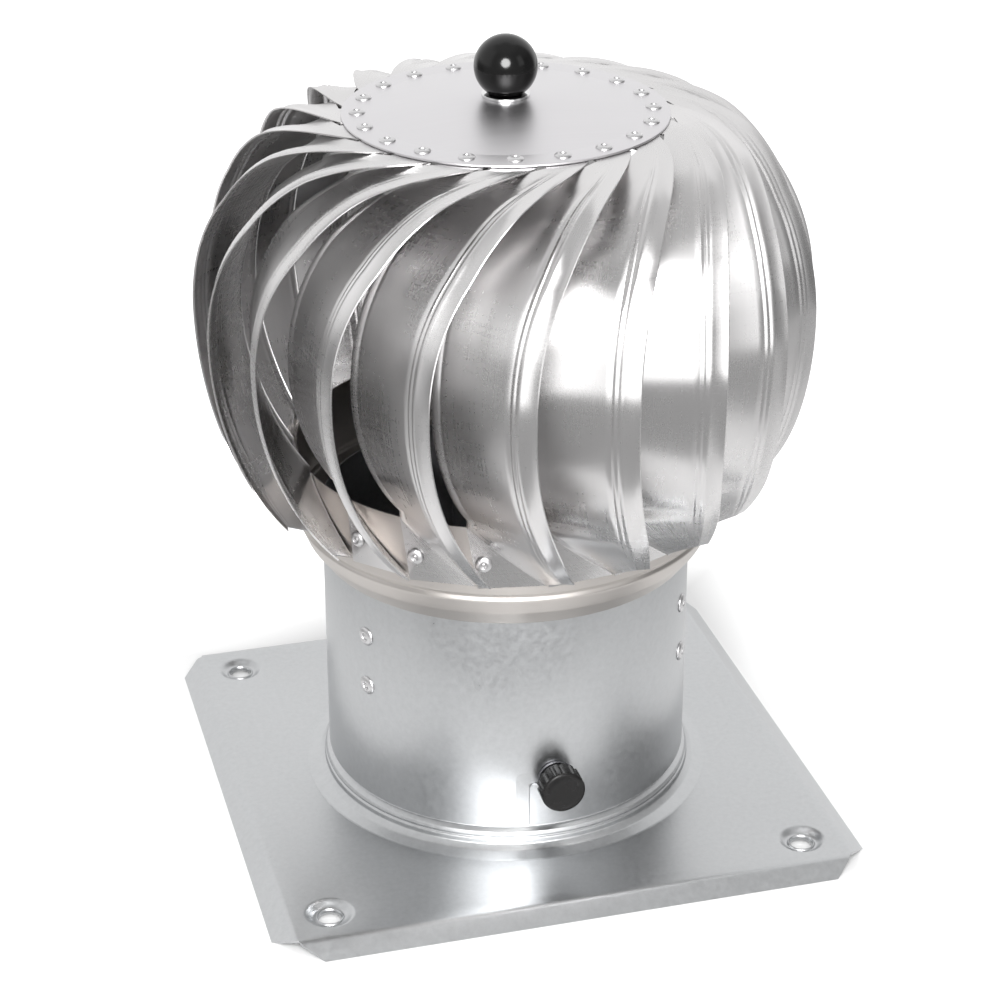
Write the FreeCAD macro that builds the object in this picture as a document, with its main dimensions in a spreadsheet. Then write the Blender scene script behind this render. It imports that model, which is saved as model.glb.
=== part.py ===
import FreeCAD, Part
import math
import os
import Sketcher
from FreeCAD import Placement, Rotation, Vector

# A roof turbine ventilator: a square sheet plate with a round neck, a sleeve that turns on the neck
# into a slot and is held by a knob, and a turbine head of twenty curved blades between a ring and a
# disc, which spins on two ball bearings. Millimetres, Z up, the roof at Z = 0, knob at the front (-Y).

doc = FreeCAD.newDocument("RoofTurbine")
sheet = doc.addObject("Spreadsheet::Sheet", "Sizes")

# Driving sizes: name, value, what it is
DRIVING_SIZES = [
    ("plate_width", 234.0, "square between the folds"),
    ("plate_height", 5.0, "top of the plate above the roof"),
    ("plate_sheet", 1.0, "plate thickness"),
    ("flange_spread", 8.0, "how far the turned-down edge leans out"),
    ("flange_notch", 7.0, "gap at each end of a turned-down edge"),
    ("bolt_spacing", 200.0, "between screw holes, both ways"),
    ("bolt_hole_radius", 4.5, "screw hole"),
    ("dimple_radius", 9.75, "pressed dimple round a screw hole"),
    ("dimple_depth", 3.6, "depth of the dimple"),
    ("neck_bore_radius", 75.0, "inside of the neck"),
    ("neck_sheet", 0.7, "neck thickness"),
    ("neck_top", 55.0, "top of the neck"),
    ("neck_hem", 4.3, "width of the hem under the plate"),
    ("foot_width", 11.3, "how far the neck's foot reaches over the plate"),
    ("foot_bead", 3.2, "how far the bead over the foot stands out"),
    ("foot_height", 10.4, "height of the foot and its bead"),
    ("sleeve_gap", 0.4, "play between neck and sleeve"),
    ("sleeve_sheet", 0.7, "sleeve thickness"),
    ("sleeve_bottom", 15.9, "lower edge of the sleeve"),
    ("sleeve_top", 130.0, "upper edge of the sleeve"),
    ("slot_play", 0.3, "play between screw and slot, each side"),
    ("slot_turn", 13.3, "from the screw to the open branch of the slot"),
    ("screw_height", 38.0, "clamp screw above the roof"),
    ("screw_radius", 2.5, "clamp screw"),
    ("thread_gap", 0.05, "play in a threaded or sliding fit"),
    ("nut_width", 8.0, "clamp nut across flats"),
    ("nut_thickness", 4.0, "clamp nut"),
    ("screw_tip_out", 3.0, "clamp screw beyond its nut"),
    ("knob_radius", 9.2, "clamp knob"),
    ("knob_length", 8.4, "fluted part of the knob"),
    ("knob_collar_radius", 6.8, "smooth collar behind the flutes"),
    ("knob_collar_length", 3.6, "length of that collar"),
    ("knob_edge", 0.9, "bevel of the knob's front edge"),
    ("flute_radius", 1.0, "flutes round the knob"),
    ("clamp_washer_radius", 7.5, "washer behind the knob"),
    ("clamp_washer_thickness", 1.0, "that washer"),
    ("clamp_gap", 0.3, "play between sleeve and washer"),
    ("rivet_radius", 3.25, "rivet heads on disc and ring"),
    ("rivet_height", 1.2, "height of those heads"),
    ("arm_rivet_radius", 4.0, "rivet heads on the sleeve"),
    ("arm_width", 16.0, "flat bars inside the sleeve"),
    ("arm_thickness", 2.0, "thickness of a bar"),
    ("arm_foot_bottom", 58.0, "lower end of a bar"),
    ("arm_foot_top", 101.0, "where a bar bends inwards"),
    ("arm_rise", 14.0, "how much a bar climbs to the middle"),
    ("lower_rivet_height", 68.0, "lower rivet of a bar"),
    ("upper_rivet_height", 91.0, "upper rivet of a bar"),
    ("housing_wall", 2.5, "wall of the bearing housing"),
    ("housing_length", 40.0, "bearing housing"),
    ("housing_bottom", 86.0, "lower end of the bearing housing"),
    ("housing_bore_step", 1.5, "shoulder that keeps the bearings apart"),
    ("bearing_radius", 14.0, "outside of a bearing"),
    ("bearing_width", 8.0, "bearing"),
    ("bearing_recess", 3.0, "bearing below the housing's end"),
    ("bearing_inner_radius", 8.0, "outside of the inner ring"),
    ("bearing_play", 0.3, "between inner ring and shield"),
    ("clip_width", 2.2, "retaining clip"),
    ("clip_thickness", 1.2, "retaining clip"),
    ("shaft_radius", 6.0, "shaft"),
    ("shaft_collar_radius", 7.6, "shoulder on the upper bearing"),
    ("shaft_collar_length", 6.0, "length of that shoulder"),
    ("shaft_tip_radius", 4.0, "threaded top end"),
    ("shaft_tip_in_knob", 8.0, "how far the shaft enters the ball"),
    ("shaft_nut_width", 19.0, "nut under the lower bearing, across flats"),
    ("shaft_nut_thickness", 8.0, "that nut"),
    ("shaft_end_out", 3.0, "shaft beyond that nut"),
    ("disc_radius", 64.5, "disc"),
    ("disc_flat_radius", 53.6, "flat middle of the disc"),
    ("disc_height", 299.4, "top of the disc"),
    ("disc_drop", 2.0, "how much the rim slopes down"),
    ("disc_sheet", 1.0, "disc thickness"),
    ("disc_rivet_circle", 58.1, "radius of the rivet circle on the disc"),
    ("disc_nut_width", 13.0, "nuts on the disc, across flats"),
    ("disc_nut_thickness", 6.5, "nut under the disc"),
    ("top_nut_thickness", 4.2, "thin nut on the disc"),
    ("top_washer_radius", 10.0, "washer under the ball"),
    ("top_washer_thickness", 1.2, "that washer"),
    ("ball_radius", 12.5, "ball knob"),
    ("ball_seat", 10.6, "from the ball's middle to its flat seat"),
    ("ring_radius", 86.9, "outside of the ring"),
    ("ring_sheet", 0.5, "ring thickness"),
    ("ring_top", 158.1, "upper edge of the ring"),
    ("ring_bottom", 112.1, "lower edge of the ring"),
    ("ring_mouth_gap", 1.5, "free space between ring and sleeve"),
    ("ring_flare_height", 14.0, "height of the ring's flared foot"),
    ("ring_flare_bulge", 1.2, "how far the flare bulges beyond a straight cone"),
    ("ring_groove_depth", 0.9, "groove over the flare"),
    ("ring_groove_height", 3.2, "height of the groove"),
    ("ring_rivet_height", 143.0, "rivets on the ring"),
    ("blade_count", 20.0, "blades"),
    ("blade_sheet", 0.6, "blade thickness"),
    ("blade_reach", 58.3, "crest of a blade beyond the disc"),
    ("blade_middle", 219.2, "height where the blades reach furthest"),
    ("blade_drop", 101.198893, "how far below that a full curve would end"),
    ("blade_bottom", 140.6, "lower end of a blade's crest"),
    ("blade_width", 38.0, "from the crest to the inner edge"),
    ("blade_tab_width", 11.8, "that width at the disc"),
    ("blade_lip", 7.0, "folded lip along the crest"),
    ("blade_lip_end", 5.0, "lip at the lower end"),
    ("blade_lip_tab", 5.6, "lip at the disc"),
    ("blade_lip_angle", 21.0, "degrees, lip from the crest's circle"),
    ("blade_lean", 34.0, "degrees, how far the blade turns inwards at its middle"),
    ("blade_lean_up", 10.0, "degrees more towards the disc"),
    ("blade_lean_down", 13.0, "degrees more towards the ring"),
    ("blade_sweep_up", 39.3, "degrees from the middle to the disc"),
    ("blade_sweep_down", 11.3, "degrees from the middle to the ring"),
    ("blade_roll", 10.0, "degrees of twist below the disc"),
    ("blade_crease", 8.0, "degrees from the crest line to the lower end of the crease"),
    ("blade_foot_slant", 3.0, "degrees, slant of the inner edge on the ring"),
    ("blade_tab_length", 10.4, "blade under the disc"),
    ("blade_seat_gap", 0.03, "between blade and disc or ring"),
    ("blade_edge_gap", 0.2, "from the disc's edge to where a blade turns under it"),
    ("head_turn", 346.98, "degrees, first blade from the front"),
    ("disc_rivet_turn", 37.3, "degrees from a crest to its rivet on the disc"),
    ("ring_rivet_turn", -7.9, "degrees from a crest to its rivet on the ring"),
    ("first_arm_turn", 57.0, "degrees, first bar from the front"),
    ("rivet_seat_gap", 0.02, "between a rivet head and the sheet"),
    ("ring_rivet_gap", 0.2, "the same on the slightly twisted foot of a blade"),
]


# Sizes
def fillSheet():
    for row, (name, value, note) in enumerate(DRIVING_SIZES, start=1):
        sheet.set(f"A{row}", name)
        sheet.set(f"B{row}", str(value))
        sheet.setAlias(f"B{row}", name)
        sheet.set(f"C{row}", note)
    doc.recompute()


class Size:
    # A number together with the expression that ties it to the sheet.
    def __init__(self, number, text):
        self.number = number
        self.text = text

    def combine(self, sign, other, number):
        return Size(number, f"({self.text} {sign} {asSize(other).text})")

    def __add__(self, other):
        return self.combine("+", other, self.number + asSize(other).number)

    def __sub__(self, other):
        return self.combine("-", other, self.number - asSize(other).number)

    def __mul__(self, other):
        return self.combine("*", other, self.number * asSize(other).number)

    def __truediv__(self, other):
        return self.combine("/", other, self.number / asSize(other).number)

    def __neg__(self):
        return Size(0.0, "0") - self


class SheetSizes:
    # Gives each driving size by its name, as it stands in the sheet.
    def __getattr__(self, name):
        return Size(float(sheet.get(name)), f"Sizes.{name}")


def asSize(value):
    if isinstance(value, Size):
        return value
    return Size(float(value), str(value))


def bind(thing, path, size):
    thing.setExpression(path, asSize(size).text)


# Sketches and features
def originPlane(body, role):
    return [feature for feature in body.Origin.OriginFeatures if feature.Role == role][0]


def newBody(name):
    body = doc.addObject("PartDesign::Body", name)
    body.Label = name
    return body


def newSketch(body, name, plane, along=0, up=0, out=0, tilt=0):
    sketch = body.newObject("Sketcher::SketchObject", name)
    sketch.AttachmentSupport = [(originPlane(body, plane), "")]
    sketch.MapMode = "FlatFace"
    sketch.AttachmentOffset = Placement(Vector(0, 0, 0), Rotation(Vector(0, 0, 1), tilt))
    bind(sketch, ".AttachmentOffset.Base.x", along)
    bind(sketch, ".AttachmentOffset.Base.y", up)
    bind(sketch, ".AttachmentOffset.Base.z", out)
    return sketch


def setDimension(sketch, kind, where, value):
    value = asSize(value)
    number = sketch.addConstraint(Sketcher.Constraint(kind, *where, value.number))
    if isinstance(value.text, str) and "Sizes." in value.text:
        sketch.setExpression(f"Constraints[{number}]", value.text)


def addOutline(sketch, corners):
    first = sketch.GeometryCount
    count = len(corners)
    points = [Vector(asSize(x).number, asSize(y).number, 0) for x, y in corners]
    for index in range(count):
        sketch.addGeometry(Part.LineSegment(points[index], points[(index + 1) % count]), False)
    for index in range(count):
        sketch.addConstraint(
            Sketcher.Constraint("Coincident", first + index, 2, first + (index + 1) % count, 1)
        )
    for index, (x, y) in enumerate(corners):
        setDimension(sketch, "DistanceX", (-1, 1, first + index, 1), x)
        setDimension(sketch, "DistanceY", (-1, 1, first + index, 1), y)


def addCircle(sketch, radius, x=0, y=0):
    index = sketch.GeometryCount
    middle = Vector(asSize(x).number, asSize(y).number, 0)
    sketch.addGeometry(Part.Circle(middle, Vector(0, 0, 1), asSize(radius).number), False)
    setDimension(sketch, "Radius", (index,), radius)
    setDimension(sketch, "DistanceX", (-1, 1, index, 3), x)
    setDimension(sketch, "DistanceY", (-1, 1, index, 3), y)


def addObround(sketch, left, right, height, radius):
    # Two half circles joined by level lines.
    r = radius.number
    y = height.number
    x0 = asSize(left).number
    x1 = asSize(right).number
    axis = Vector(0, 0, 1)
    sketch.addGeometry(Part.LineSegment(Vector(x0, y + r, 0), Vector(x1, y + r, 0)), False)
    endCircle = Part.Circle(Vector(x1, y, 0), axis, r)
    sketch.addGeometry(Part.ArcOfCircle(endCircle, -math.pi / 2, math.pi / 2), False)
    sketch.addGeometry(Part.LineSegment(Vector(x1, y - r, 0), Vector(x0, y - r, 0)), False)
    startCircle = Part.Circle(Vector(x0, y, 0), axis, r)
    sketch.addGeometry(Part.ArcOfCircle(startCircle, math.pi / 2, 3 * math.pi / 2), False)
    sketch.addConstraint(Sketcher.Constraint("Tangent", 0, 2, 1, 2))
    sketch.addConstraint(Sketcher.Constraint("Tangent", 1, 1, 2, 1))
    sketch.addConstraint(Sketcher.Constraint("Tangent", 2, 2, 3, 2))
    sketch.addConstraint(Sketcher.Constraint("Tangent", 3, 1, 0, 1))
    sketch.addConstraint(Sketcher.Constraint("Equal", 1, 3))
    setDimension(sketch, "Radius", (1,), radius)
    setDimension(sketch, "DistanceX", (-1, 1, 1, 3), right)
    setDimension(sketch, "DistanceY", (-1, 1, 1, 3), height)
    setDimension(sketch, "DistanceX", (-1, 1, 3, 3), left)
    setDimension(sketch, "DistanceY", (-1, 1, 3, 3), height)


def hexagon(acrossFlats):
    # Corners of a hexagon with two flats facing left and right.
    half = asSize(acrossFlats) / 2
    corner = half * round(2 / math.sqrt(3), 6)
    return [
        (half, -(corner / 2)),
        (half, corner / 2),
        (0, corner),
        (-half, corner / 2),
        (-half, -(corner / 2)),
        (0, -corner),
    ]


def pad(body, name, sketch, length, both=False, taper=0):
    feature = body.newObject("PartDesign::Pad", name)
    feature.Profile = sketch
    feature.Midplane = both
    feature.TaperAngle = taper
    feature.Length = asSize(length).number
    bind(feature, "Length", length)
    sketch.Visibility = False
    return feature


def cut(body, name, sketch, depth, both=False, reverse=False):
    feature = body.newObject("PartDesign::Pocket", name)
    feature.Profile = sketch
    feature.Midplane = both
    feature.Reversed = reverse
    feature.Length = asSize(depth).number
    bind(feature, "Length", depth)
    sketch.Visibility = False
    return feature


def revolve(body, name, sketch, axis="V_Axis"):
    feature = body.newObject("PartDesign::Revolution", name)
    feature.Profile = sketch
    feature.ReferenceAxis = (sketch, [axis])
    feature.Angle = 360
    sketch.Visibility = False
    return feature


def grooveOut(body, name, sketch):
    feature = body.newObject("PartDesign::Groove", name)
    feature.Profile = sketch
    feature.ReferenceAxis = (sketch, ["V_Axis"])
    feature.Angle = 360
    sketch.Visibility = False
    return feature


def repeatRound(body, name, features, count):
    feature = body.newObject("PartDesign::PolarPattern", name)
    feature.Originals = features
    feature.Axis = (originPlane(body, "Z_Axis"), [""])
    feature.Angle = 360
    feature.Occurrences = int(asSize(count).number)
    if isinstance(count, Size):
        bind(feature, "Occurrences", count)
    body.Tip = feature
    return feature


def ringOutline(inner, outer, bottom, top):
    return [(inner, bottom), (outer, bottom), (outer, top), (inner, top)]


def turnedFromFront(degrees):
    # Turns a body drawn along +X so that it stands this far round from the front, towards +X.
    return Placement(Vector(0, 0, 0), Rotation(Vector(0, 0, 1), degrees - 90))


fillSheet()
size = SheetSizes()
slotRadius = size.screw_radius + size.slot_play
neckOuter = size.neck_bore_radius + size.neck_sheet
sleeveInner = neckOuter + size.sleeve_gap
sleeveOuter = sleeveInner + size.sleeve_sheet
housingOuter = size.bearing_radius + size.housing_wall
housingTop = size.housing_bottom + size.housing_length
discUnder = size.disc_height - size.disc_sheet
rimUnder = discUnder - size.disc_drop
washerBack = sleeveOuter + size.clamp_gap
knobBack = washerBack + size.clamp_washer_thickness
washerSeat = size.disc_height + size.top_nut_thickness
ballSeat = washerSeat + size.top_washer_thickness


# The part that stays on the roof
def buildBasePlate():
    body = newBody("base_plate")
    half = size.plate_width / 2
    top = size.plate_height
    under = top - size.plate_sheet
    square = newSketch(body, "plate_square", "XY_Plane", out=under)
    addOutline(square, [(-half, -half), (half, -half), (half, half), (-half, half)])
    pad(body, "plate_top", square, size.plate_sheet)

    # The cut-off lower end of a flange is as wide as its slope makes the sheet.
    slope = size.flange_spread.number / top.number
    endWidth = size.plate_sheet * round(math.sqrt(1 + slope * slope), 6)
    foldIn = half + size.flange_spread - endWidth - size.flange_spread / top * under
    flange = newSketch(body, "flange_section", "XZ_Plane")
    addOutline(flange, [
        (half, top),
        (half + size.flange_spread, 0),
        (half + size.flange_spread - endWidth, 0),
        (foldIn, under),
    ])
    length = size.plate_width - size.flange_notch * 2
    flangePad = pad(body, "flange", flange, length, both=True)
    repeatRound(body, "four_flanges", [flangePad], 4)

    opening = newSketch(body, "neck_opening", "XY_Plane", out=under)
    addCircle(opening, neckOuter + size.clamp_gap)
    cut(body, "neck_cut", opening, size.plate_sheet * 4, both=True)

    bolt = size.bolt_spacing / 2
    dimple = newSketch(body, "dimple_opening", "XY_Plane", out=under)
    addCircle(dimple, size.dimple_radius, bolt, bolt)
    dimpleCut = cut(body, "dimple_cut", dimple, size.plate_sheet * 4, both=True)
    dish = newSketch(body, "dimple_section", "XZ_Plane", along=bolt, out=-bolt)
    addOutline(dish, [
        (size.bolt_hole_radius, top - size.dimple_depth),
        (size.dimple_radius, top),
        (size.dimple_radius, under),
        (size.bolt_hole_radius, under - size.dimple_depth),
    ])
    dishTurn = revolve(body, "dimple", dish)
    repeatRound(body, "four_dimples", [dimpleCut, dishTurn], 4)
    return body


def buildNeckCollar():
    body = newBody("neck_collar")
    bore = size.neck_bore_radius
    wall = size.neck_sheet
    plateTop = size.plate_height
    plateUnder = plateTop - size.plate_sheet
    beadRadius = neckOuter + size.foot_bead
    beadTop = plateTop + size.foot_height
    beadLow = beadTop - size.foot_bead * 2
    section = newSketch(body, "neck_section", "XZ_Plane")
    addOutline(section, [
        (bore, plateUnder - wall),
        (neckOuter + size.neck_hem, plateUnder - wall),
        (neckOuter + size.neck_hem, plateUnder),
        (neckOuter, plateUnder),
        (neckOuter, beadTop - wall * 2),
        (beadRadius - wall, beadLow + size.foot_bead - wall),
        (beadRadius - wall, beadLow - wall),
        (neckOuter + size.foot_width - wall, plateTop),
        (neckOuter + size.foot_width, plateTop),
        (beadRadius, beadLow),
        (beadRadius, beadLow + size.foot_bead),
        (neckOuter, beadTop),
        (neckOuter, size.neck_top),
        (bore, size.neck_top),
    ])
    revolve(body, "neck", section)
    hole = newSketch(body, "screw_hole", "XZ_Plane", up=size.screw_height)
    addCircle(hole, slotRadius)
    cut(body, "screw_cut", hole, bore + wall * 4, reverse=True)
    return body


def buildClampNut():
    # Hexagon nut on the clamp screw's axis, its back cut to the curve of the neck.
    body = newBody("clamp_nut")
    bore = size.neck_bore_radius
    section = newSketch(body, "nut_section", "XZ_Plane", up=size.screw_height, out=bore - size.nut_thickness)
    addOutline(section, hexagon(size.nut_width))
    pad(body, "nut_block", section, size.nut_thickness)
    curve = newSketch(body, "neck_curve", "XZ_Plane", up=size.screw_height)
    addOutline(curve, ringOutline(bore, bore * 2, -size.nut_width, size.nut_width))
    grooveOut(body, "curved_back", curve)
    hole = newSketch(body, "nut_hole", "XZ_Plane", up=size.screw_height)
    addCircle(hole, size.screw_radius + size.thread_gap)
    cut(body, "nut_thread", hole, bore * 2, reverse=True)
    return body


# The sleeve and what it carries
def buildSleeve():
    body = newBody("sleeve")
    section = newSketch(body, "sleeve_section", "XZ_Plane")
    addOutline(section, ringOutline(sleeveInner, sleeveOuter, size.sleeve_bottom, size.sleeve_top))
    revolve(body, "tube", section)
    level = newSketch(body, "slot_level", "XZ_Plane")
    addObround(level, -size.slot_turn, 0, size.screw_height, slotRadius)
    cut(body, "slot_level_cut", level, sleeveOuter * 2, reverse=True)
    upright = newSketch(body, "slot_upright", "XZ_Plane")
    addOutline(upright, [
        (-size.slot_turn - slotRadius, size.sleeve_bottom - 1),
        (-size.slot_turn + slotRadius, size.sleeve_bottom - 1),
        (-size.slot_turn + slotRadius, size.screw_height),
        (-size.slot_turn - slotRadius, size.screw_height),
    ])
    cut(body, "slot_upright_cut", upright, sleeveOuter * 2, reverse=True)
    return body


def buildBearingArms():
    # Flat bars: a foot riveted inside the sleeve, a bend, and an end fitted round the housing.
    arms = []
    halfWidth = size.arm_width.number / 2
    faceRadius = math.sqrt(sleeveInner.number ** 2 - halfWidth ** 2) - size.blade_seat_gap.number
    footInset = round(sleeveInner.number - faceRadius, 4)
    for index in range(3):
        body = newBody(f"bearing_arm_{index + 1}")
        outer = sleeveInner - footInset
        inner = outer - size.arm_thickness
        end = housingOuter - 2
        low = size.arm_foot_top + size.arm_rise
        section = newSketch(body, "bar_section", "XZ_Plane")
        addOutline(section, [
            (inner, size.arm_foot_bottom),
            (outer, size.arm_foot_bottom),
            (outer, size.arm_foot_top),
            (end, low),
            (end, low - size.arm_thickness),
            (inner, size.arm_foot_top - size.arm_thickness),
        ])
        pad(body, "bar", section, size.arm_width, both=True)
        cope = newSketch(body, "housing_round", "XY_Plane")
        addCircle(cope, housingOuter)
        cut(body, "housing_cut", cope, size.disc_height * 2, both=True)
        body.Placement = turnedFromFront(size.first_arm_turn.number + 120 * index)
        arms.append(body)
    return arms


def buildArmRivets():
    body = newBody("arm_rivets")
    heads = []
    for label, height in (("lower", size.lower_rivet_height), ("upper", size.upper_rivet_height)):
        section = newSketch(body, f"{label}_head_section", "XZ_Plane", up=height)
        seat = sleeveOuter + size.rivet_seat_gap
        addOutline(section, [
            (seat, 0),
            (seat, size.arm_rivet_radius),
            (seat + size.rivet_height, size.arm_rivet_radius * 0.6),
            (seat + size.rivet_height, 0),
        ])
        heads.append(revolve(body, f"{label}_head", section, "H_Axis"))
    repeatRound(body, "three_pairs", heads, 3)
    body.Placement = turnedFromFront(size.first_arm_turn.number)
    return body


def buildBearingHousing():
    # Tube with a shoulder in the middle, open at both ends for a bearing and its clip.
    body = newBody("bearing_housing")
    bore = size.bearing_radius
    deep = size.bearing_recess + size.bearing_width
    section = newSketch(body, "housing_section", "XZ_Plane")
    addOutline(section, [
        (bore, size.housing_bottom),
        (housingOuter, size.housing_bottom),
        (housingOuter, housingTop),
        (bore, housingTop),
        (bore, housingTop - deep),
        (bore - size.housing_bore_step, housingTop - deep),
        (bore - size.housing_bore_step, size.housing_bottom + deep),
        (bore, size.housing_bottom + deep),
    ])
    revolve(body, "housing", section)
    return body


def bearingLevels():
    low = size.housing_bottom + size.bearing_recess
    high = housingTop - size.bearing_recess - size.bearing_width
    return (("lower", low), ("upper", high))


def buildOuterRings():
    body = newBody("bearing_outer_rings")
    for label, bottom in bearingLevels():
        section = newSketch(body, f"{label}_ring_section", "XZ_Plane")
        inner = size.bearing_inner_radius + size.bearing_play
        addOutline(section, ringOutline(inner, size.bearing_radius, bottom, bottom + size.bearing_width))
        revolve(body, f"{label}_ring", section)
    return body


def buildInnerRings():
    body = newBody("bearing_inner_rings")
    for label, bottom in bearingLevels():
        section = newSketch(body, f"{label}_ring_section", "XZ_Plane")
        outer = size.bearing_inner_radius
        addOutline(section, ringOutline(size.shaft_radius, outer, bottom, bottom + size.bearing_width))
        revolve(body, f"{label}_ring", section)
    return body


def buildHousingClips():
    body = newBody("housing_clips")
    low = size.housing_bottom + size.bearing_recess - size.clip_thickness
    high = housingTop - size.bearing_recess
    for label, bottom in (("lower", low), ("upper", high)):
        section = newSketch(body, f"{label}_clip_section", "XZ_Plane")
        inner = size.bearing_radius - size.clip_width
        addOutline(section, ringOutline(inner, size.bearing_radius, bottom, bottom + size.clip_thickness))
        revolve(body, f"{label}_clip", section)
    return body


# The clamp: drawn along its own axis, then turned to point to the front
def placeAtScrew(body):
    body.Placement = Placement(Vector(0, 0, size.screw_height.number), Rotation(Vector(1, 0, 0), 90))
    bind(body, ".Placement.Base.z", size.screw_height)


def buildClampWasher():
    body = newBody("clamp_washer")
    section = newSketch(body, "washer_section", "XZ_Plane", up=washerBack)
    inner = size.screw_radius + size.thread_gap
    addOutline(section, ringOutline(inner, size.clamp_washer_radius, 0, size.clamp_washer_thickness))
    revolve(body, "washer", section)
    placeAtScrew(body)
    return body


def buildClampScrew():
    body = newBody("clamp_screw")
    section = newSketch(body, "screw_section", "XZ_Plane")
    start = size.neck_bore_radius - size.nut_thickness - size.screw_tip_out
    end = knobBack + size.knob_collar_length + size.knob_length / 2
    addOutline(section, ringOutline(0, size.screw_radius, start, end))
    revolve(body, "screw", section)
    placeAtScrew(body)
    return body


def buildClampKnob():
    body = newBody("clamp_knob")
    radius = size.knob_radius
    collar = knobBack + size.knob_collar_length
    front = collar + size.knob_length
    screwEnd = collar + size.knob_length / 2
    section = newSketch(body, "knob_section", "XZ_Plane")
    addOutline(section, [
        (size.screw_radius, knobBack),
        (size.knob_collar_radius, knobBack),
        (size.knob_collar_radius, collar),
        (radius, collar),
        (radius, front - size.knob_edge),
        (radius - size.knob_edge, front),
        (0, front),
        (0, screwEnd),
        (size.screw_radius, screwEnd),
    ])
    revolve(body, "knob", section)
    flute = newSketch(body, "flute_round", "XY_Plane", out=collar - 1)
    addCircle(flute, size.flute_radius, radius + size.flute_radius / 3)
    fluteCut = cut(body, "flute", flute, size.knob_length - size.knob_edge, reverse=True)
    repeatRound(body, "flutes", [fluteCut], 16)
    placeAtScrew(body)
    return body


# The turning head
def buildShaft():
    body = newBody("shaft")
    bearingTop = housingTop - size.bearing_recess
    bearingLow = size.housing_bottom + size.bearing_recess
    shaftEnd = bearingLow - size.shaft_nut_thickness - size.shaft_end_out
    tipStart = discUnder - size.disc_nut_thickness
    section = newSketch(body, "shaft_section", "XZ_Plane")
    addOutline(section, [
        (0, shaftEnd),
        (size.shaft_radius, shaftEnd),
        (size.shaft_radius, bearingTop),
        (size.shaft_collar_radius, bearingTop),
        (size.shaft_collar_radius, bearingTop + size.shaft_collar_length),
        (size.shaft_radius, bearingTop + size.shaft_collar_length),
        (size.shaft_radius, tipStart),
        (size.shaft_tip_radius, tipStart),
        (size.shaft_tip_radius, ballSeat + size.shaft_tip_in_knob),
        (0, ballSeat + size.shaft_tip_in_knob),
    ])
    revolve(body, "shaft_turned", section)
    return body


def buildNut(name, acrossFlats, hole, bottom, thickness):
    body = newBody(name)
    section = newSketch(body, "nut_section", "XY_Plane", out=bottom)
    addOutline(section, hexagon(acrossFlats))
    addCircle(section, hole)
    pad(body, "nut", section, thickness)
    return body


def buildNuts():
    under = size.housing_bottom + size.bearing_recess - size.shaft_nut_thickness
    low = discUnder - size.disc_nut_thickness
    flats = size.disc_nut_width
    tip = size.shaft_tip_radius
    return [
        buildNut("shaft_nut", size.shaft_nut_width, size.shaft_radius, under, size.shaft_nut_thickness),
        buildNut("disc_nut", flats, tip, low, size.disc_nut_thickness),
        buildNut("top_nut", flats, tip, size.disc_height, size.top_nut_thickness),
    ]


def buildTopDisc():
    body = newBody("top_disc")
    rim = size.disc_height - size.disc_drop
    section = newSketch(body, "disc_section", "XZ_Plane")
    addOutline(section, [
        (size.shaft_tip_radius, discUnder),
        (size.disc_flat_radius, discUnder),
        (size.disc_radius, rim - size.disc_sheet),
        (size.disc_radius, rim),
        (size.disc_flat_radius, size.disc_height),
        (size.shaft_tip_radius, size.disc_height),
    ])
    revolve(body, "disc", section)
    return body


def discSlope():
    rimWidth = size.disc_radius.number - size.disc_flat_radius.number
    return math.degrees(math.atan2(size.disc_drop.number, rimWidth))


def rivetHead(seat):
    # Low head with its flat back at the seat, beside its own axis.
    return [
        (0, seat),
        (size.rivet_radius, seat),
        (size.rivet_radius * 0.6, seat + size.rivet_height),
        (0, seat + size.rivet_height),
    ]


def buildDiscRivets():
    body = newBody("disc_rivets")
    slope = discSlope()
    across = size.disc_rivet_circle - size.disc_flat_radius
    height = size.disc_height - size.disc_drop * across / (size.disc_radius - size.disc_flat_radius)
    section = newSketch(
        body, "head_section", "XZ_Plane", along=size.disc_rivet_circle, up=height, tilt=-slope
    )
    addOutline(section, rivetHead(size.rivet_seat_gap + 0.02))
    head = revolve(body, "head", section)
    repeatRound(body, "heads", [head], size.blade_count)
    body.Placement = turnedFromFront(size.head_turn.number + size.disc_rivet_turn.number)
    return body


def buildRingRivets(blade):
    # The heads lie on the flat foot of each blade, a little to one side of where it touches the ring.
    body = newBody("ring_rivets")
    touch = blade.footTurn(size.ring_rivet_height.number)
    beside = blade.wall * math.tan(math.radians(touch - size.ring_rivet_turn.number))
    section = newSketch(body, "head_section", "XZ_Plane", up=size.ring_rivet_height, out=round(beside, 3))
    seat = size.ring_radius + size.blade_seat_gap + size.blade_sheet + size.ring_rivet_gap
    addOutline(section, [
        (seat, 0),
        (seat, size.rivet_radius),
        (seat + size.rivet_height, size.rivet_radius * 0.6),
        (seat + size.rivet_height, 0),
    ])
    head = revolve(body, "head", section, "H_Axis")
    repeatRound(body, "heads", [head], size.blade_count)
    body.Placement = turnedFromFront(size.head_turn.number + touch)
    return body


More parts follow.
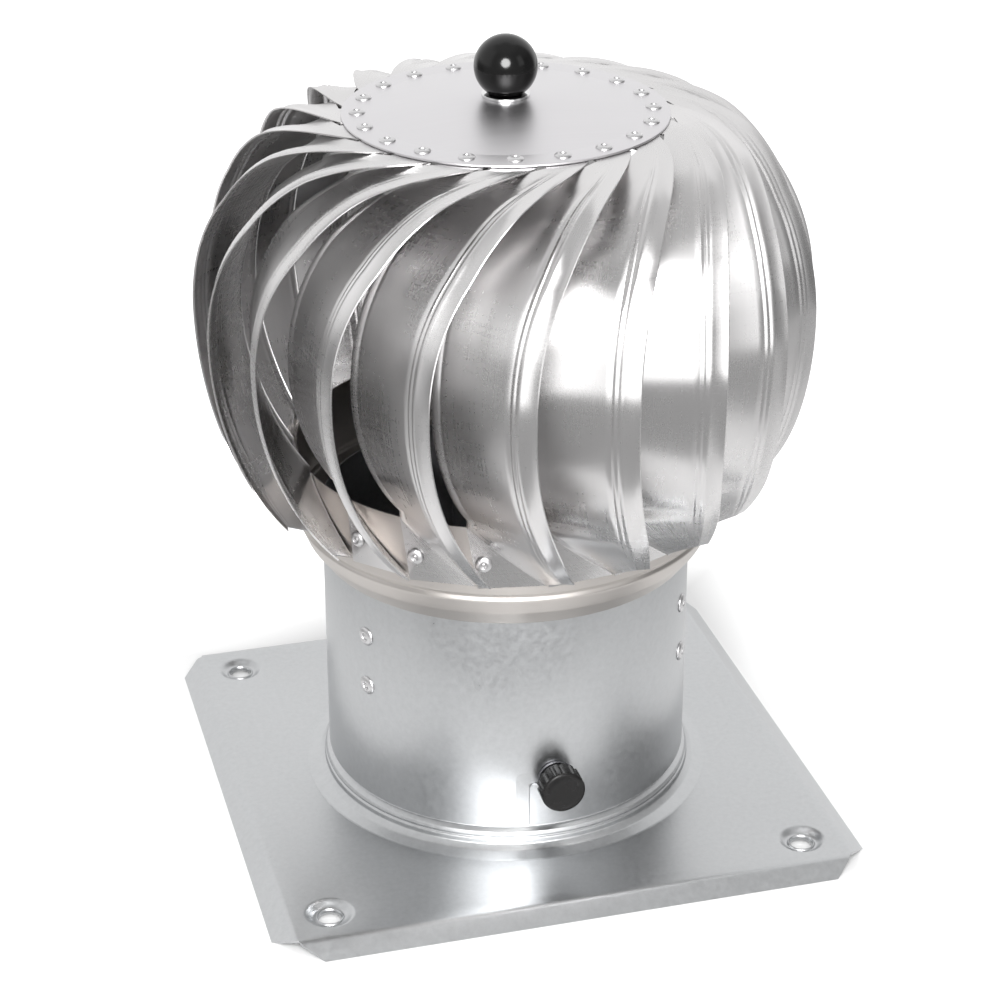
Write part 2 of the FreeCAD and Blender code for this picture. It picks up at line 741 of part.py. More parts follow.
def buildRotorRing():
    body = newBody("rotor_ring")
    outer = size.ring_radius
    wall = size.ring_sheet
    mouth = sleeveOuter + size.ring_mouth_gap + wall
    middle = (mouth + outer) / 2 + size.ring_flare_bulge
    low = size.ring_bottom
    flareTop = low + size.ring_flare_height
    groove = flareTop + size.ring_groove_height / 2
    grooveTop = flareTop + size.ring_groove_height
    section = newSketch(body, "ring_section", "XZ_Plane")
    addOutline(section, [
        (mouth - wall, low),
        (mouth, low),
        (middle, low + size.ring_flare_height / 2),
        (outer, flareTop),
        (outer - size.ring_groove_depth, groove),
        (outer, grooveTop),
        (outer, size.ring_top),
        (outer - wall, size.ring_top),
        (outer - wall, grooveTop),
        (outer - size.ring_groove_depth - wall, groove),
        (outer - wall, flareTop),
        (middle - wall, low + size.ring_flare_height / 2),
    ])
    revolve(body, "ring", section)
    return body


def buildTopWasher():
    body = newBody("top_washer")
    section = newSketch(body, "washer_section", "XZ_Plane")
    addOutline(section, ringOutline(size.shaft_tip_radius, size.top_washer_radius, washerSeat, ballSeat))
    revolve(body, "washer", section)
    return body


def buildBallKnob():
    # The ball's outline runs in short straight steps from its flat seat to its top.
    body = newBody("ball_knob")
    middle = ballSeat + size.ball_seat
    seatAngle = math.asin(-size.ball_seat.number / size.ball_radius.number)
    steps = 11
    profile = []
    for step in range(steps):
        angle = seatAngle + (math.pi / 2 - seatAngle) * step / steps
        height = size.ball_radius * round(math.sin(angle), 6)
        profile.append((size.ball_radius * round(math.cos(angle), 6), middle + height))
    profile[0] = (profile[0][0], ballSeat)
    section = newSketch(body, "ball_section", "XZ_Plane")
    hole = ballSeat + size.shaft_tip_in_knob
    addOutline(section, profile + [
        (0, middle + size.ball_radius),
        (0, hole),
        (size.shaft_tip_radius, hole),
        (size.shaft_tip_radius, ballSeat),
    ])
    revolve(body, "ball", section)
    return body


# A blade: long edges through level sections, each doubled by the thickness of the sheet.
# Turns are degrees round the blade's own outline: 0 at its widest, 90 at the disc's edge.
BOW_STEPS = 12
DISC_TURN = 90
TAB_TURN = 100
SWEEP_START = -3.0
SWEEP_DOWN_SPAN = 51.0
SWEEP_UP_POWER = 2.45
LEAN_UP_TURN = 57.0
LEAN_DOWN_TURN = 32.0
FLATTEN_START = 60.0
ROLL_START = 40.0


class Blade:
    def __init__(self):
        for name in (
            "blade_reach", "blade_middle", "blade_drop", "blade_bottom", "blade_width", "blade_tab_width",
            "blade_lip", "blade_lip_end", "blade_lip_tab", "blade_lip_angle", "blade_lean", "blade_lean_up",
            "blade_lean_down", "blade_sweep_up", "blade_sweep_down", "blade_roll", "blade_crease",
            "blade_foot_slant", "blade_tab_length", "blade_seat_gap", "blade_edge_gap", "blade_sheet",
        ):
            setattr(self, name[6:], getattr(size, name).number)
        self.neck = size.disc_radius.number + self.edge_gap
        self.rimSlope = size.disc_drop.number / (size.disc_radius.number - size.disc_flat_radius.number)
        self.top = rimUnder.number - self.seat_gap - self.edge_gap * self.rimSlope
        self.rise = self.top - self.middle
        self.wall = size.ring_radius.number + self.seat_gap
        self.ringLevel = size.ring_top.number + 0.5
        self.bottomTurn = self.turnAt(self.bottom)
        self.ringTurn = self.turnAt(self.ringLevel)

    def turnAt(self, height):
        return math.degrees(math.asin((height - self.middle) / self.drop))

    def stationTurns(self):
        # Degrees round the blade's outline, from its lower end to its end under the disc.
        foot = [self.bottomTurn + (self.ringTurn - self.bottomTurn) * step / 3 for step in range(3)]
        span = DISC_TURN - self.ringTurn
        bow = [self.ringTurn + span * step / BOW_STEPS for step in range(BOW_STEPS + 1)]
        return foot + bow + [TAB_TURN]

    def crest(self, turn):
        # Radius, height and sweep of the crest line.
        if turn > DISC_TURN:
            inwards = self.tab_length
            return self.neck - inwards, self.top + inwards * self.rimSlope, self.sweep_up
        radius = self.neck + self.reach * math.cos(math.radians(turn))
        span = self.rise if turn > 0 else self.drop
        height = self.middle + span * math.sin(math.radians(turn))
        if turn > SWEEP_START:
            share = (turn - SWEEP_START) / (DISC_TURN - SWEEP_START)
            sweep = self.sweep_up * share ** SWEEP_UP_POWER
        else:
            sweep = self.sweep_down * ((SWEEP_START - turn) / SWEEP_DOWN_SPAN) ** 2
        return radius, height, sweep

    def section(self, turn):
        # Inner edge, crease, crest and lip edge of one level section, as radius, height, sweep.
        radius, height, sweep = self.crest(turn)
        nearDisc = self.shareOf(turn, FLATTEN_START)
        width = self.width * (1 - nearDisc) + self.tab_width * nearDisc
        if turn > DISC_TURN:
            width = width * radius / self.neck
        if turn > 0:
            lean = self.lean + self.lean_up * (turn / LEAN_UP_TURN) ** 2
        else:
            lean = self.lean + self.lean_down * (turn / LEAN_DOWN_TURN) ** 2
        lean = math.radians(lean * (1 - nearDisc))
        roll = math.radians(self.roll) * math.sin(math.pi * self.shareOf(turn, ROLL_START))
        lift = width / 2 * math.sin(roll)

        inner = math.hypot(radius - width * math.sin(lean), width * math.cos(lean))
        if turn < 0:
            inner = max(inner, self.wall + self.sheet)
        back = self.angleBetween(radius, inner, width)
        innerSweep = sweep - back

        lipAngle = math.radians(self.lip_angle) * (1 - nearDisc)
        lip = self.lip * (1 - nearDisc) + self.lip_tab * nearDisc
        if turn < self.ringTurn:
            lip += (self.lip_end - lip) * (self.ringTurn - turn) / (self.ringTurn - self.bottomTurn)
        if turn > DISC_TURN:
            lip = lip * radius / self.neck
        out = radius + lip * math.sin(lipAngle)
        side = lip * math.cos(lipAngle)
        lipRadius = math.hypot(out, side)
        lipSweep = sweep + math.degrees(math.atan2(side, out))
        crest = (radius, height + lift, sweep)
        lipHeight = height + lift * 1.2
        innerHeight = height - lift
        if turn >= DISC_TURN:
            lipHeight -= (lipRadius - radius) * self.rimSlope
            innerHeight -= (inner - radius) * self.rimSlope
        lipEdge = (lipRadius, lipHeight, lipSweep)
        if turn >= self.ringTurn:
            edge = (inner, innerHeight, innerSweep)
            return edge, edge, crest, lipEdge

        # Below the ring's top the sheet lies flat on the ring between its inner edge and the crease.
        low = (self.ringTurn - turn) / (self.ringTurn - self.bottomTurn)
        ringSweep = self.innerSweepAtRing()
        edgeSweep = ringSweep + self.foot_slant * low
        creaseSweep = ringSweep + (self.crease - ringSweep) * low
        half = math.radians(creaseSweep - edgeSweep) / 2
        flat = (self.wall + self.sheet) / math.cos(half)
        edge = (flat, height - 3 * low, edgeSweep)
        crease = (flat, height - low, creaseSweep)
        return edge, crease, crest, lipEdge

    def shareOf(self, turn, start):
        # How far a turn lies between a start and the disc's edge, from 0 to 1.
        return min(1.0, max(0.0, (turn - start) / (DISC_TURN - start)))

    def innerSweepAtRing(self):
        return self.section(self.ringTurn)[0][2]

    def footTurn(self, height):
        # Where the flat foot touches the ring at a level, in degrees from the crest line.
        edge, crease = self.section(self.turnAt(height))[:2]
        return (edge[2] + crease[2]) / 2

    def angleBetween(self, radius, inner, width):
        cosine = (radius ** 2 + inner ** 2 - width ** 2) / (2 * radius * inner)
        return math.degrees(math.acos(cosine))

    def point(self, place):
        # The first blade's crest line stands at the front; head_turn is added as a Placement.
        radius, height, sweep = place
        turn = math.radians(sweep)
        return Vector(radius * math.sin(turn), -radius * math.cos(turn), height)

    def edgeRows(self):
        # Points of the five edges on the outer side, and the same edges on the inner side.
        turns = self.stationTurns()
        outer = [[self.point(place) for place in self.section(turn)] for turn in turns]
        rows = []
        for index, points in enumerate(outer):
            before = outer[max(0, index - 1)]
            after = outer[min(len(outer) - 1, index + 1)]
            along = (after[2] - before[2]) + (after[1] - before[1])
            edge, crease, crest, lip = points
            panel = self.normal(crest - crease, along)
            fold = self.normal(lip - crest, along)
            mitre = (panel + fold) * (1 / (1 + panel.dot(fold)))
            if turns[index] <= self.ringTurn:
                edgeSide = Vector(edge.x, edge.y, 0).normalize()
                creaseSide = Vector(crease.x, crease.y, 0).normalize()
            else:
                edgeSide = panel
                creaseSide = panel
            rows.append({
                "edge": (edge, edge - edgeSide * self.sheet),
                "crease": (crease, crease - creaseSide * self.sheet),
                "crest": (crest, crest - mitre * self.sheet),
                "lip": (lip, lip - fold * self.sheet),
            })
        return turns, rows

    def normal(self, across, along):
        direction = across.cross(along)
        direction.normalize()
        return direction

    def curve(self, turns, rows, name, side):
        line = Part.BSplineCurve()
        line.interpolate(Points=[row[name][side] for row in rows], Parameters=turns)
        return line

    def piece(self, curve, start, end):
        part = curve.copy()
        part.segment(start, end)
        return part.toShape()

    def edges(self, turns, rows):
        # Each long edge in three parts: on the ring, in the open, and straight under the disc.
        edges = {}
        bend = 3
        for side in (0, 1):
            for name in ("edge", "crease"):
                foot = self.curve(turns[:bend + 1], rows[:bend + 1], name, side)
                edges[name, side, 0] = foot.toShape()
            edges["crease", side, 1] = self.curve(turns[bend:-1], rows[bend:-1], "crease", side).toShape()
            for name in ("crest", "lip"):
                whole = self.curve(turns[:-1], rows[:-1], name, side)
                edges[name, side, 0] = self.piece(whole, turns[0], turns[bend])
                edges[name, side, 1] = self.piece(whole, turns[bend], turns[-2])
            for name in ("crease", "crest", "lip"):
                edges[name, side, 2] = Part.LineSegment(rows[-2][name][side], rows[-1][name][side]).toShape()
        return edges

    def shape(self):
        turns, rows = self.edgeRows()
        edges = self.edges(turns, rows)
        faces = []
        for side in (0, 1):
            faces.append(Part.makeRuledSurface(edges["edge", side, 0], edges["crease", side, 0]))
            for part in (0, 1, 2):
                faces.append(Part.makeRuledSurface(edges["crease", side, part], edges["crest", side, part]))
                faces.append(Part.makeRuledSurface(edges["crest", side, part], edges["lip", side, part]))
        faces.append(Part.makeRuledSurface(edges["edge", 0, 0], edges["edge", 1, 0]))
        for part in (0, 1, 2):
            faces.append(Part.makeRuledSurface(edges["lip", 0, part], edges["lip", 1, part]))
        for part in (1, 2):
            faces.append(Part.makeRuledSurface(edges["crease", 0, part], edges["crease", 1, part]))
        ends = ((rows[0], ("edge", "crease", "crest", "lip")), (rows[-1], ("crease", "crest", "lip")))
        for row, names in ends:
            for first, second in zip(names, names[1:]):
                faces.append(self.endFace(row[first], row[second]))
        sewn = Part.Compound(faces)
        sewn.sewShape(0.005)
        solid = Part.Solid(sewn.Shells[0])
        if solid.Volume < 0:
            solid.reverse()
        return solid

    def endFace(self, first, second):
        near = Part.LineSegment(first[0], first[1]).toShape()
        far = Part.LineSegment(second[0], second[1]).toShape()
        return Part.makeRuledSurface(near, far)


def buildBlades(blade):
    form = blade.shape()
    count = int(size.blade_count.number)
    blades = []
    for index in range(count):
        feature = doc.addObject("Part::Feature", f"blade_{index + 1:02d}")
        feature.Label = f"blade_{index + 1:02d}"
        feature.Shape = form
        turn = size.head_turn.number + 360 / count * index
        feature.Placement = Placement(Vector(0, 0, 0), Rotation(Vector(0, 0, 1), turn))
        blades.append(feature)
    return blades


# Build everything, check it and write one file for each piece
def buildAll():
    blade = Blade()
    pieces = [
        buildBasePlate(),
        buildNeckCollar(),
        buildClampNut(),
        buildSleeve(),
        buildArmRivets(),
        buildBearingHousing(),
        buildOuterRings(),
        buildInnerRings(),
        buildHousingClips(),
        buildClampWasher(),
        buildClampScrew(),
        buildClampKnob(),
        buildShaft(),
        buildTopDisc(),
        buildDiscRivets(),
        buildRingRivets(blade),
        buildRotorRing(),
        buildTopWasher(),
        buildBallKnob(),
    ]
    pieces += buildBearingArms()
    pieces += buildNuts()
    pieces += buildBlades(blade)
    return pieces


def checkAndWrite(pieces):
    doc.recompute()
    for thing in doc.Objects:
        if "Invalid" in thing.State or "Error" in thing.State:
            raise RuntimeError(f"{thing.Name} did not build")
    os.makedirs("parts", exist_ok=True)
    for piece in pieces:
        shape = piece.Shape
        if shape.isNull() or not shape.isValid():
            raise RuntimeError(f"{piece.Label} is not a sound solid")
        shape.exportStep(f"parts/{piece.Label}.step")
        print(piece.Label, len(shape.Solids), round(shape.Volume, 1))


checkAndWrite(buildAll())
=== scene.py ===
import math
import bmesh
import bpy
from mathutils import Matrix, Vector


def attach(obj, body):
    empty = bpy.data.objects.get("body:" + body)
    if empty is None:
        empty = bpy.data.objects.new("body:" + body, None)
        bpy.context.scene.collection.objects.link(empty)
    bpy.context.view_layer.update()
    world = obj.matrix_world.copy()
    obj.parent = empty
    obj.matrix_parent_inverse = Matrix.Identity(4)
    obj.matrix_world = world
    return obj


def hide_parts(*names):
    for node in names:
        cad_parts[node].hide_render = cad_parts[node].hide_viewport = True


# Dresses the roof turbine: sheet forms, pressed blades, rivets, clamp, finishes, a pale studio and the camera.
# Pieces are sized in millimetres here and in metres in their meshes; the studio is in metres and degrees.

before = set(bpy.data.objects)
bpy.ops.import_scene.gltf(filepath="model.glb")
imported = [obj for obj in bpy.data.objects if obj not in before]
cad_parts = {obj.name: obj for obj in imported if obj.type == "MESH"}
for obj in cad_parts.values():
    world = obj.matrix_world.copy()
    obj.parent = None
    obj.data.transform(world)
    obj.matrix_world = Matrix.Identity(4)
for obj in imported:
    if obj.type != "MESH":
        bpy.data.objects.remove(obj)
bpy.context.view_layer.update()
mm = 0.001
turn = 2 * math.pi


# node trees

class Wire:
    # one output in a node tree; sums and products on it add Math nodes
    def __init__(self, graph, socket):
        self.graph = graph
        self.socket = socket

    def step(self, operation, *others):
        sockets = {0: self}
        sockets.update({index + 1: other for index, other in enumerate(others)})
        return self.graph.add("ShaderNodeMath", sockets, {"operation": operation})

    def under(self, operation, first):
        return self.graph.add("ShaderNodeMath", {0: first, 1: self}, {"operation": operation})

    def __add__(self, other):
        return self.step("ADD", other)

    def __radd__(self, other):
        return self.under("ADD", other)

    def __sub__(self, other):
        return self.step("SUBTRACT", other)

    def __rsub__(self, other):
        return self.under("SUBTRACT", other)

    def __mul__(self, other):
        return self.step("MULTIPLY", other)

    def __rmul__(self, other):
        return self.under("MULTIPLY", other)

    def __truediv__(self, other):
        return self.step("DIVIDE", other)

    def __rtruediv__(self, other):
        return self.under("DIVIDE", other)

    def __pow__(self, other):
        return self.step("POWER", other)

    def __neg__(self):
        return self.under("MULTIPLY", -1.0)

    def sine(self):
        return self.step("SINE")

    def cosine(self):
        return self.step("COSINE")

    def arccosine(self):
        return self.step("ARCCOSINE")

    def root(self):
        return self.step("SQRT")

    def below(self, limit):
        return self.step("LESS_THAN", limit)

    def atMost(self, limit):
        return self.step("MINIMUM", limit)

    def atLeast(self, limit):
        return self.step("MAXIMUM", limit)

    def share(self):
        return self.atLeast(0.0).atMost(1.0)


class Graph:
    # a node tree that is being drawn up
    def __init__(self, tree):
        self.tree = tree

    def add(self, kind, sockets=None, settings=None, out=0):
        node = self.tree.nodes.new(kind)
        for name, value in (settings or {}).items():
            setattr(node, name, value)
        for name, value in (sockets or {}).items():
            self.feed(node.inputs[name], value)
        if out is None:
            return node
        return Wire(self, node.outputs[out])

    def feed(self, socket, value):
        if isinstance(value, Wire):
            self.tree.links.new(value.socket, socket)
        else:
            socket.default_value = value

    def set(self, name, value):
        self.feed(self.shader.inputs[name], value)

    def parts(self, vector):
        node = self.add("ShaderNodeSeparateXYZ", {0: vector}, out=None)
        return [Wire(self, output) for output in node.outputs]

    def join(self, x, y, z):
        return self.add("ShaderNodeCombineXYZ", {0: x, 1: y, 2: z})

    def blendColour(self, amount, first, second):
        return self.add("ShaderNodeMix", {0: amount, 6: first, 7: second}, {"data_type": "RGBA"}, out=2)


# finishes

def newFinish(name, metal=1.0):
    material = bpy.data.materials.new(name)
    material.use_nodes = True
    graph = Graph(material.node_tree)
    graph.shader = material.node_tree.nodes["Principled BSDF"]
    graph.set("Metallic", metal)
    return material, graph


def noise(graph, scale, detail=3.0, rough=0.5, stretch=(1, 1, 1), onSheet=False):
    # noise in the object's space, or along and across the sheet of a blade
    if onSheet:
        spot = graph.add("ShaderNodeUVMap", None, {"uv_map": "UVMap"})
    else:
        spot = graph.add("ShaderNodeTexCoord", out=3)
    spot = graph.add("ShaderNodeMapping", {"Vector": spot, "Scale": stretch})
    return graph.add("ShaderNodeTexNoise", {"Vector": spot, "Scale": scale, "Detail": detail, "Roughness": rough})


def setLook(graph, colour, roughness, height, strength, distance):
    graph.set("Base Color", colour)
    graph.set("Roughness", roughness)
    graph.set("Normal", graph.add("ShaderNodeBump", {"Strength": strength, "Distance": distance, "Height": height}))


zincLook = {"mottle": 420.0, "cloud": 11.0, "dark": (0.43, 0.438, 0.446, 1), "light": (0.575, 0.583, 0.591, 1),
            "roughness": 0.34}


def makeGalvanised():
    material, graph = newFinish("galvanisedSheet")
    cloud = noise(graph, zincLook["cloud"])
    mottle = noise(graph, zincLook["mottle"], 4.0, 0.65)
    grain = noise(graph, 1600.0, 2.0)
    amount = (cloud * 0.35 + mottle * 0.9 - 0.12).share()
    colour = graph.blendColour(amount, zincLook["dark"], zincLook["light"])
    roughness = zincLook["roughness"] + (mottle - 0.5) * 0.22 + (cloud - 0.5) * 0.06
    setLook(graph, colour, roughness, mottle * 0.8 + grain * 0.4, 0.10, 0.0002)
    return material


def makeBladeSteel():
    material, graph = newFinish("brushedBladeSteel")
    graph.set("Anisotropic", 0.85)
    streak = noise(graph, 1.0, stretch=(14, 900, 1), onSheet=True)
    cross = noise(graph, 1.0, 2.0, stretch=(420, 30, 1), onSheet=True)
    cloud = noise(graph, 22.0, 2.0)
    colour = graph.blendColour((cloud * 0.75 + streak * 0.25).share(), (0.60, 0.592, 0.592, 1), (0.71, 0.70, 0.70, 1))
    roughness = 0.28 + (streak - 0.5) * 0.05 + (cloud - 0.5) * 0.08 + (cross - 0.5) * 0.04
    setLook(graph, colour, roughness, streak * 0.12 + cross * 0.05, 0.04, 0.0002)
    return material


def makeRingSteel():
    material, graph = newFinish("rolledRingSteel")
    graph.set("Anisotropic", 0.6)
    graph.set("Anisotropic Rotation", 0.25)
    lines = noise(graph, 1.0, stretch=(3, 3, 900))
    cloud = noise(graph, 18.0, 2.0)
    colour = graph.blendColour((cloud * 0.7 + lines * 0.3).share(), (0.52, 0.49, 0.465, 1), (0.62, 0.59, 0.565, 1))
    roughness = 0.37 + (lines - 0.5) * 0.10 + (cloud - 0.5) * 0.08
    setLook(graph, colour, roughness, lines * 0.1 + cloud, 0.03, 0.0002)
    return material


def makeDiscSteel():
    material, graph = newFinish("satinDiscSteel")
    streak = noise(graph, 1.0, stretch=(12, 700, 1))
    cloud = noise(graph, 16.0)
    colour = graph.blendColour((cloud * 0.6 + streak * 0.4).share(), (0.59, 0.58, 0.592, 1), (0.68, 0.668, 0.682, 1))
    roughness = 0.36 + (streak - 0.5) * 0.06 + (cloud - 0.5) * 0.06
    setLook(graph, colour, roughness, streak * 0.15 + cloud, 0.03, 0.0002)
    return material


def makeFastener(name, dark, light, rough):
    material, graph = newFinish(name)
    cloud = noise(graph, 160.0)
    fine = noise(graph, 1100.0, 2.0)
    colour = graph.blendColour(cloud, (*dark, 1), (*light, 1))
    roughness = rough + (cloud - 0.5) * 0.14 + (fine - 0.5) * 0.08
    setLook(graph, colour, roughness, cloud + fine * 0.4, 0.06, 0.0001)
    return material


def makeTurned():
    material, graph = newFinish("turnedSteel")
    rings = noise(graph, 1.0, stretch=(2, 2, 2600))
    colour = graph.blendColour(rings, (0.56, 0.56, 0.57, 1), (0.74, 0.74, 0.75, 1))
    setLook(graph, colour, 0.2 + (rings - 0.5) * 0.12, rings, 0.12, 0.0001)
    return material


blacks = {
    "glossBlack": {"dark": (0.002, 0.002, 0.0022, 1), "light": (0.005, 0.0048, 0.0046, 1), "haze": 60.0,
                   "fine": 900.0, "specular": 0.32, "rough": 0.15, "swing": 0.05, "bump": 0.02},
    "satinBlack": {"dark": (0.005, 0.0047, 0.0047, 1), "light": (0.010, 0.0095, 0.0095, 1), "haze": 120.0,
                   "fine": 2200.0, "specular": 0.28, "rough": 0.27, "swing": 0.10, "bump": 0.08},
}


def makeBlack(name):
    look = blacks[name]
    material, graph = newFinish(name, metal=0.0)
    haze = noise(graph, look["haze"])
    fine = noise(graph, look["fine"], 2.0)
    colour = graph.blendColour(haze, look["dark"], look["light"])
    graph.set("Specular IOR Level", look["specular"])
    setLook(graph, colour, look["rough"] + (haze - 0.5) * look["swing"], fine, look["bump"], 0.0001)
    return material


galvanised = makeGalvanised()
bladeSteel = makeBladeSteel()
ringSteel = makeRingSteel()
discSteel = makeDiscSteel()
rivetMetal = makeFastener("rivetMetal", (0.54, 0.535, 0.54), (0.68, 0.675, 0.68), 0.34)
zincPlate = makeFastener("zincPlate", (0.58, 0.60, 0.62), (0.76, 0.78, 0.80), 0.16)
turnedSteel = makeTurned()
washerSteel = makeFastener("washerSteel", (0.62, 0.62, 0.62), (0.72, 0.72, 0.72), 0.07)
darkSteel = makeFastener("darkSteel", (0.10, 0.10, 0.11), (0.20, 0.20, 0.21), 0.32)
barSteel = makeFastener("barSteel", (0.46, 0.47, 0.48), (0.62, 0.63, 0.64), 0.34)
glossBlack = makeBlack("glossBlack")
satinBlack = makeBlack("satinBlack")
print("finishes made")


# meshes

def newPiece(name, vertices, faces, finish, sharp=32.0):
    mesh = bpy.data.meshes.new(name)
    mesh.from_pydata([Vector(v) * mm for v in vertices], [], faces)
    mesh.validate()
    mesh.update()
    return newObject(name, mesh, finish, sharp)


def addObject(name, data):
    made = bpy.data.objects.new(name, data)
    bpy.context.scene.collection.objects.link(made)
    return made


def smooth(mesh, sharp):
    mesh.shade_smooth()
    mesh.set_sharp_from_angle(angle=math.radians(sharp))


def newObject(name, mesh, finish, sharp):
    mesh.materials.clear()
    mesh.materials.append(finish)
    smooth(mesh, sharp)
    return addObject(name, mesh)


def gridFaces(columns, count, around=True, closed=True):
    # the quads between neighbouring columns of points, each column with the same count
    faces = []
    for column in range(columns if around else columns - 1):
        here = column * count
        after = (column + 1) % columns * count
        for index in range(count if closed else count - 1):
            ahead = (index + 1) % count
            faces.append((here + index, after + index, after + ahead, here + ahead))
    return faces


def weld(mesh, distance=0.004):
    # joins points that lie together and turns the faces outwards
    shape = bmesh.new()
    shape.from_mesh(mesh)
    bmesh.ops.remove_doubles(shape, verts=shape.verts, dist=distance * mm)
    bmesh.ops.recalc_face_normals(shape, faces=shape.faces)
    shape.to_mesh(mesh)
    shape.free()


def freeze(piece):
    # turns what the modifiers make into a plain mesh
    bpy.context.view_layer.update()
    graph = bpy.context.evaluated_depsgraph_get()
    mesh = bpy.data.meshes.new_from_object(piece.evaluated_get(graph))
    piece.modifiers.clear()
    piece.data = mesh


def rounded(corners, radius=0.3, steps=3, closed=True):
    # an outline with its corners rounded; a third number on a corner is its own radius
    points = []
    count = len(corners)
    for index, corner in enumerate(corners):
        here = Vector(corner[:2])
        size = corner[2] if len(corner) > 2 else radius
        back = Vector(corners[index - 1][:2]) - here
        ahead = Vector(corners[(index + 1) % count][:2]) - here
        angle = back.angle(ahead)
        if size <= 0 or angle > math.radians(176) or (not closed and index in (0, count - 1)):
            points.append(tuple(here))
            continue
        reach = min(size / math.tan(angle / 2), back.length * 0.45, ahead.length * 0.45)
        start = here + back.normalized() * reach
        end = here + ahead.normalized() * reach
        for step in range(steps + 1):
            part = step / steps
            first = start.lerp(here, part)
            second = here.lerp(end, part)
            points.append(tuple(first.lerp(second, part)))
    return points


def lathe(name, outline, finish, segments, closed=True, sharp=32.0):
    # turns an outline of radius and height about the Z axis
    vertices = []
    for step in range(segments):
        angle = turn * step / segments
        for radius, height in outline:
            vertices.append((radius * math.sin(angle), -radius * math.cos(angle), height))
    piece = newPiece(name, vertices, gridFaces(segments, len(outline), closed=closed), finish, sharp)
    weld(piece.data)
    smooth(piece.data, sharp)
    return piece


def cutAway(piece, cutter):
    boolean = piece.modifiers.new("cut", "BOOLEAN")
    boolean.object = cutter
    boolean.solver = "EXACT"
    freeze(piece)
    bpy.data.objects.remove(cutter)


def outwards(radius, level, beside=0.0):
    # from upright on the axis to lying outwards at the front
    return Matrix.Translation(Vector((beside, -radius, level)) * mm) @ Matrix.Rotation(math.radians(90), 4, "X")


def towardsFront(piece, level):
    piece.data.transform(outwards(0.0, level))
    return piece


def place(piece, body, slot, *nodes):
    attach(piece, body)
    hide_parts(*nodes)
    return piece


# copies round the axis

def newTree(name, kinds):
    # a geometry tree that takes these inputs after its geometry and gives geometry back
    tree = bpy.data.node_groups.new(name, "GeometryNodeTree")
    tree.interface.new_socket("Geometry", in_out="OUTPUT", socket_type="NodeSocketGeometry")
    for label, kind in {"Geometry": "Geometry", **kinds}.items():
        tree.interface.new_socket(label, in_out="INPUT", socket_type="NodeSocket" + kind)
    graph = Graph(tree)
    given = graph.add("NodeGroupInput", out=None)
    return graph, {output.name: Wire(graph, output) for output in given.outputs if output.name}


def useTree(piece, tree, values):
    modifier = piece.modifiers.new(tree.name, "NODES")
    modifier.node_group = tree
    for socket in tree.interface.items_tree:
        if socket.item_type == "SOCKET" and socket.in_out == "INPUT" and socket.name in values:
            modifier[socket.identifier] = values[socket.name]


def makeRoundTree():
    # copies what it is given round the Z axis, welds the copies and gives them their finish
    graph, inputs = newTree("copiesRoundAxis",
                            {"Copies": "Int", "First turn": "Float", "Weld": "Float", "Finish": "Material"})
    points = graph.add("GeometryNodeMeshLine", {"Count": inputs["Copies"], "Offset": (0, 0, 0)}, {"mode": "OFFSET"})
    number = graph.add("GeometryNodeInputIndex")
    angle = (number * turn) / inputs["Copies"] + inputs["First turn"] * (turn / 360)
    rotation = graph.join(0.0, 0.0, angle)
    copies = graph.add("GeometryNodeInstanceOnPoints",
                       {"Points": points, "Instance": inputs["Geometry"], "Rotation": rotation})
    real = graph.add("GeometryNodeRealizeInstances", {0: copies})
    joined = graph.add("GeometryNodeMergeByDistance", {0: real, "Distance": inputs["Weld"]})
    painted = graph.add("GeometryNodeSetMaterial", {"Geometry": joined, "Material": inputs["Finish"]})
    graph.add("NodeGroupOutput", {0: painted}, out=None)
    return graph.tree


roundTree = makeRoundTree()


def copyRound(piece, copies, firstTurn, weldSize, finish):
    useTree(piece, roundTree, {"Copies": copies, "First turn": firstTurn, "Weld": weldSize * mm, "Finish": finish})


# blades

# lengths in millimetres, turns round the globe and round the axis in degrees
blade = {
    "copies": 20, "firstTurn": 346.98, "sheet": 0.6,
    "neck": 64.7, "reach": 58.3, "middle": 219.2, "rise": 77.13, "drop": 101.2, "rimSlope": 0.033, "rimTurn": 79.4,
    "bottomTurn": -50.96, "ringTurn": -36.79, "topTurn": 90, "wall": 87.53, "footRows": 7, "bowRows": 56,
    "width": 38.0, "narrowTurn": 60, "tabWidth": 11.8, "tabLength": 10.4, "tabTurn": 10, "tabRows": [93.3, 96.7, 100.0],
    "lean": 34.0, "leanUp": 10.0, "leanUpTurn": 57, "leanDown": 13.0, "leanDownTurn": 32,
    "sweepTurn": -3, "sweepEnd": -54, "sweepUp": 39.3, "sweepUpPower": 2.45, "sweepDown": 11.3,
    "roll": 10.0, "rollTurn": 40,
    "lip": 7.0, "lipTab": 5.6, "lipEnd": 5.0, "lipAngle": 21.0, "lipRoll": 1.2,
    "creaseEnd": 8.0, "footSlant": 3.0, "edgeDrop": 8, "creaseDrop": 7,
    "pressEnd": 84, "pressFade": 14, "footFade": 12, "footPress": 0.15,
    "grainAlong": 0.0021, "grainAcross": 0.038,
}

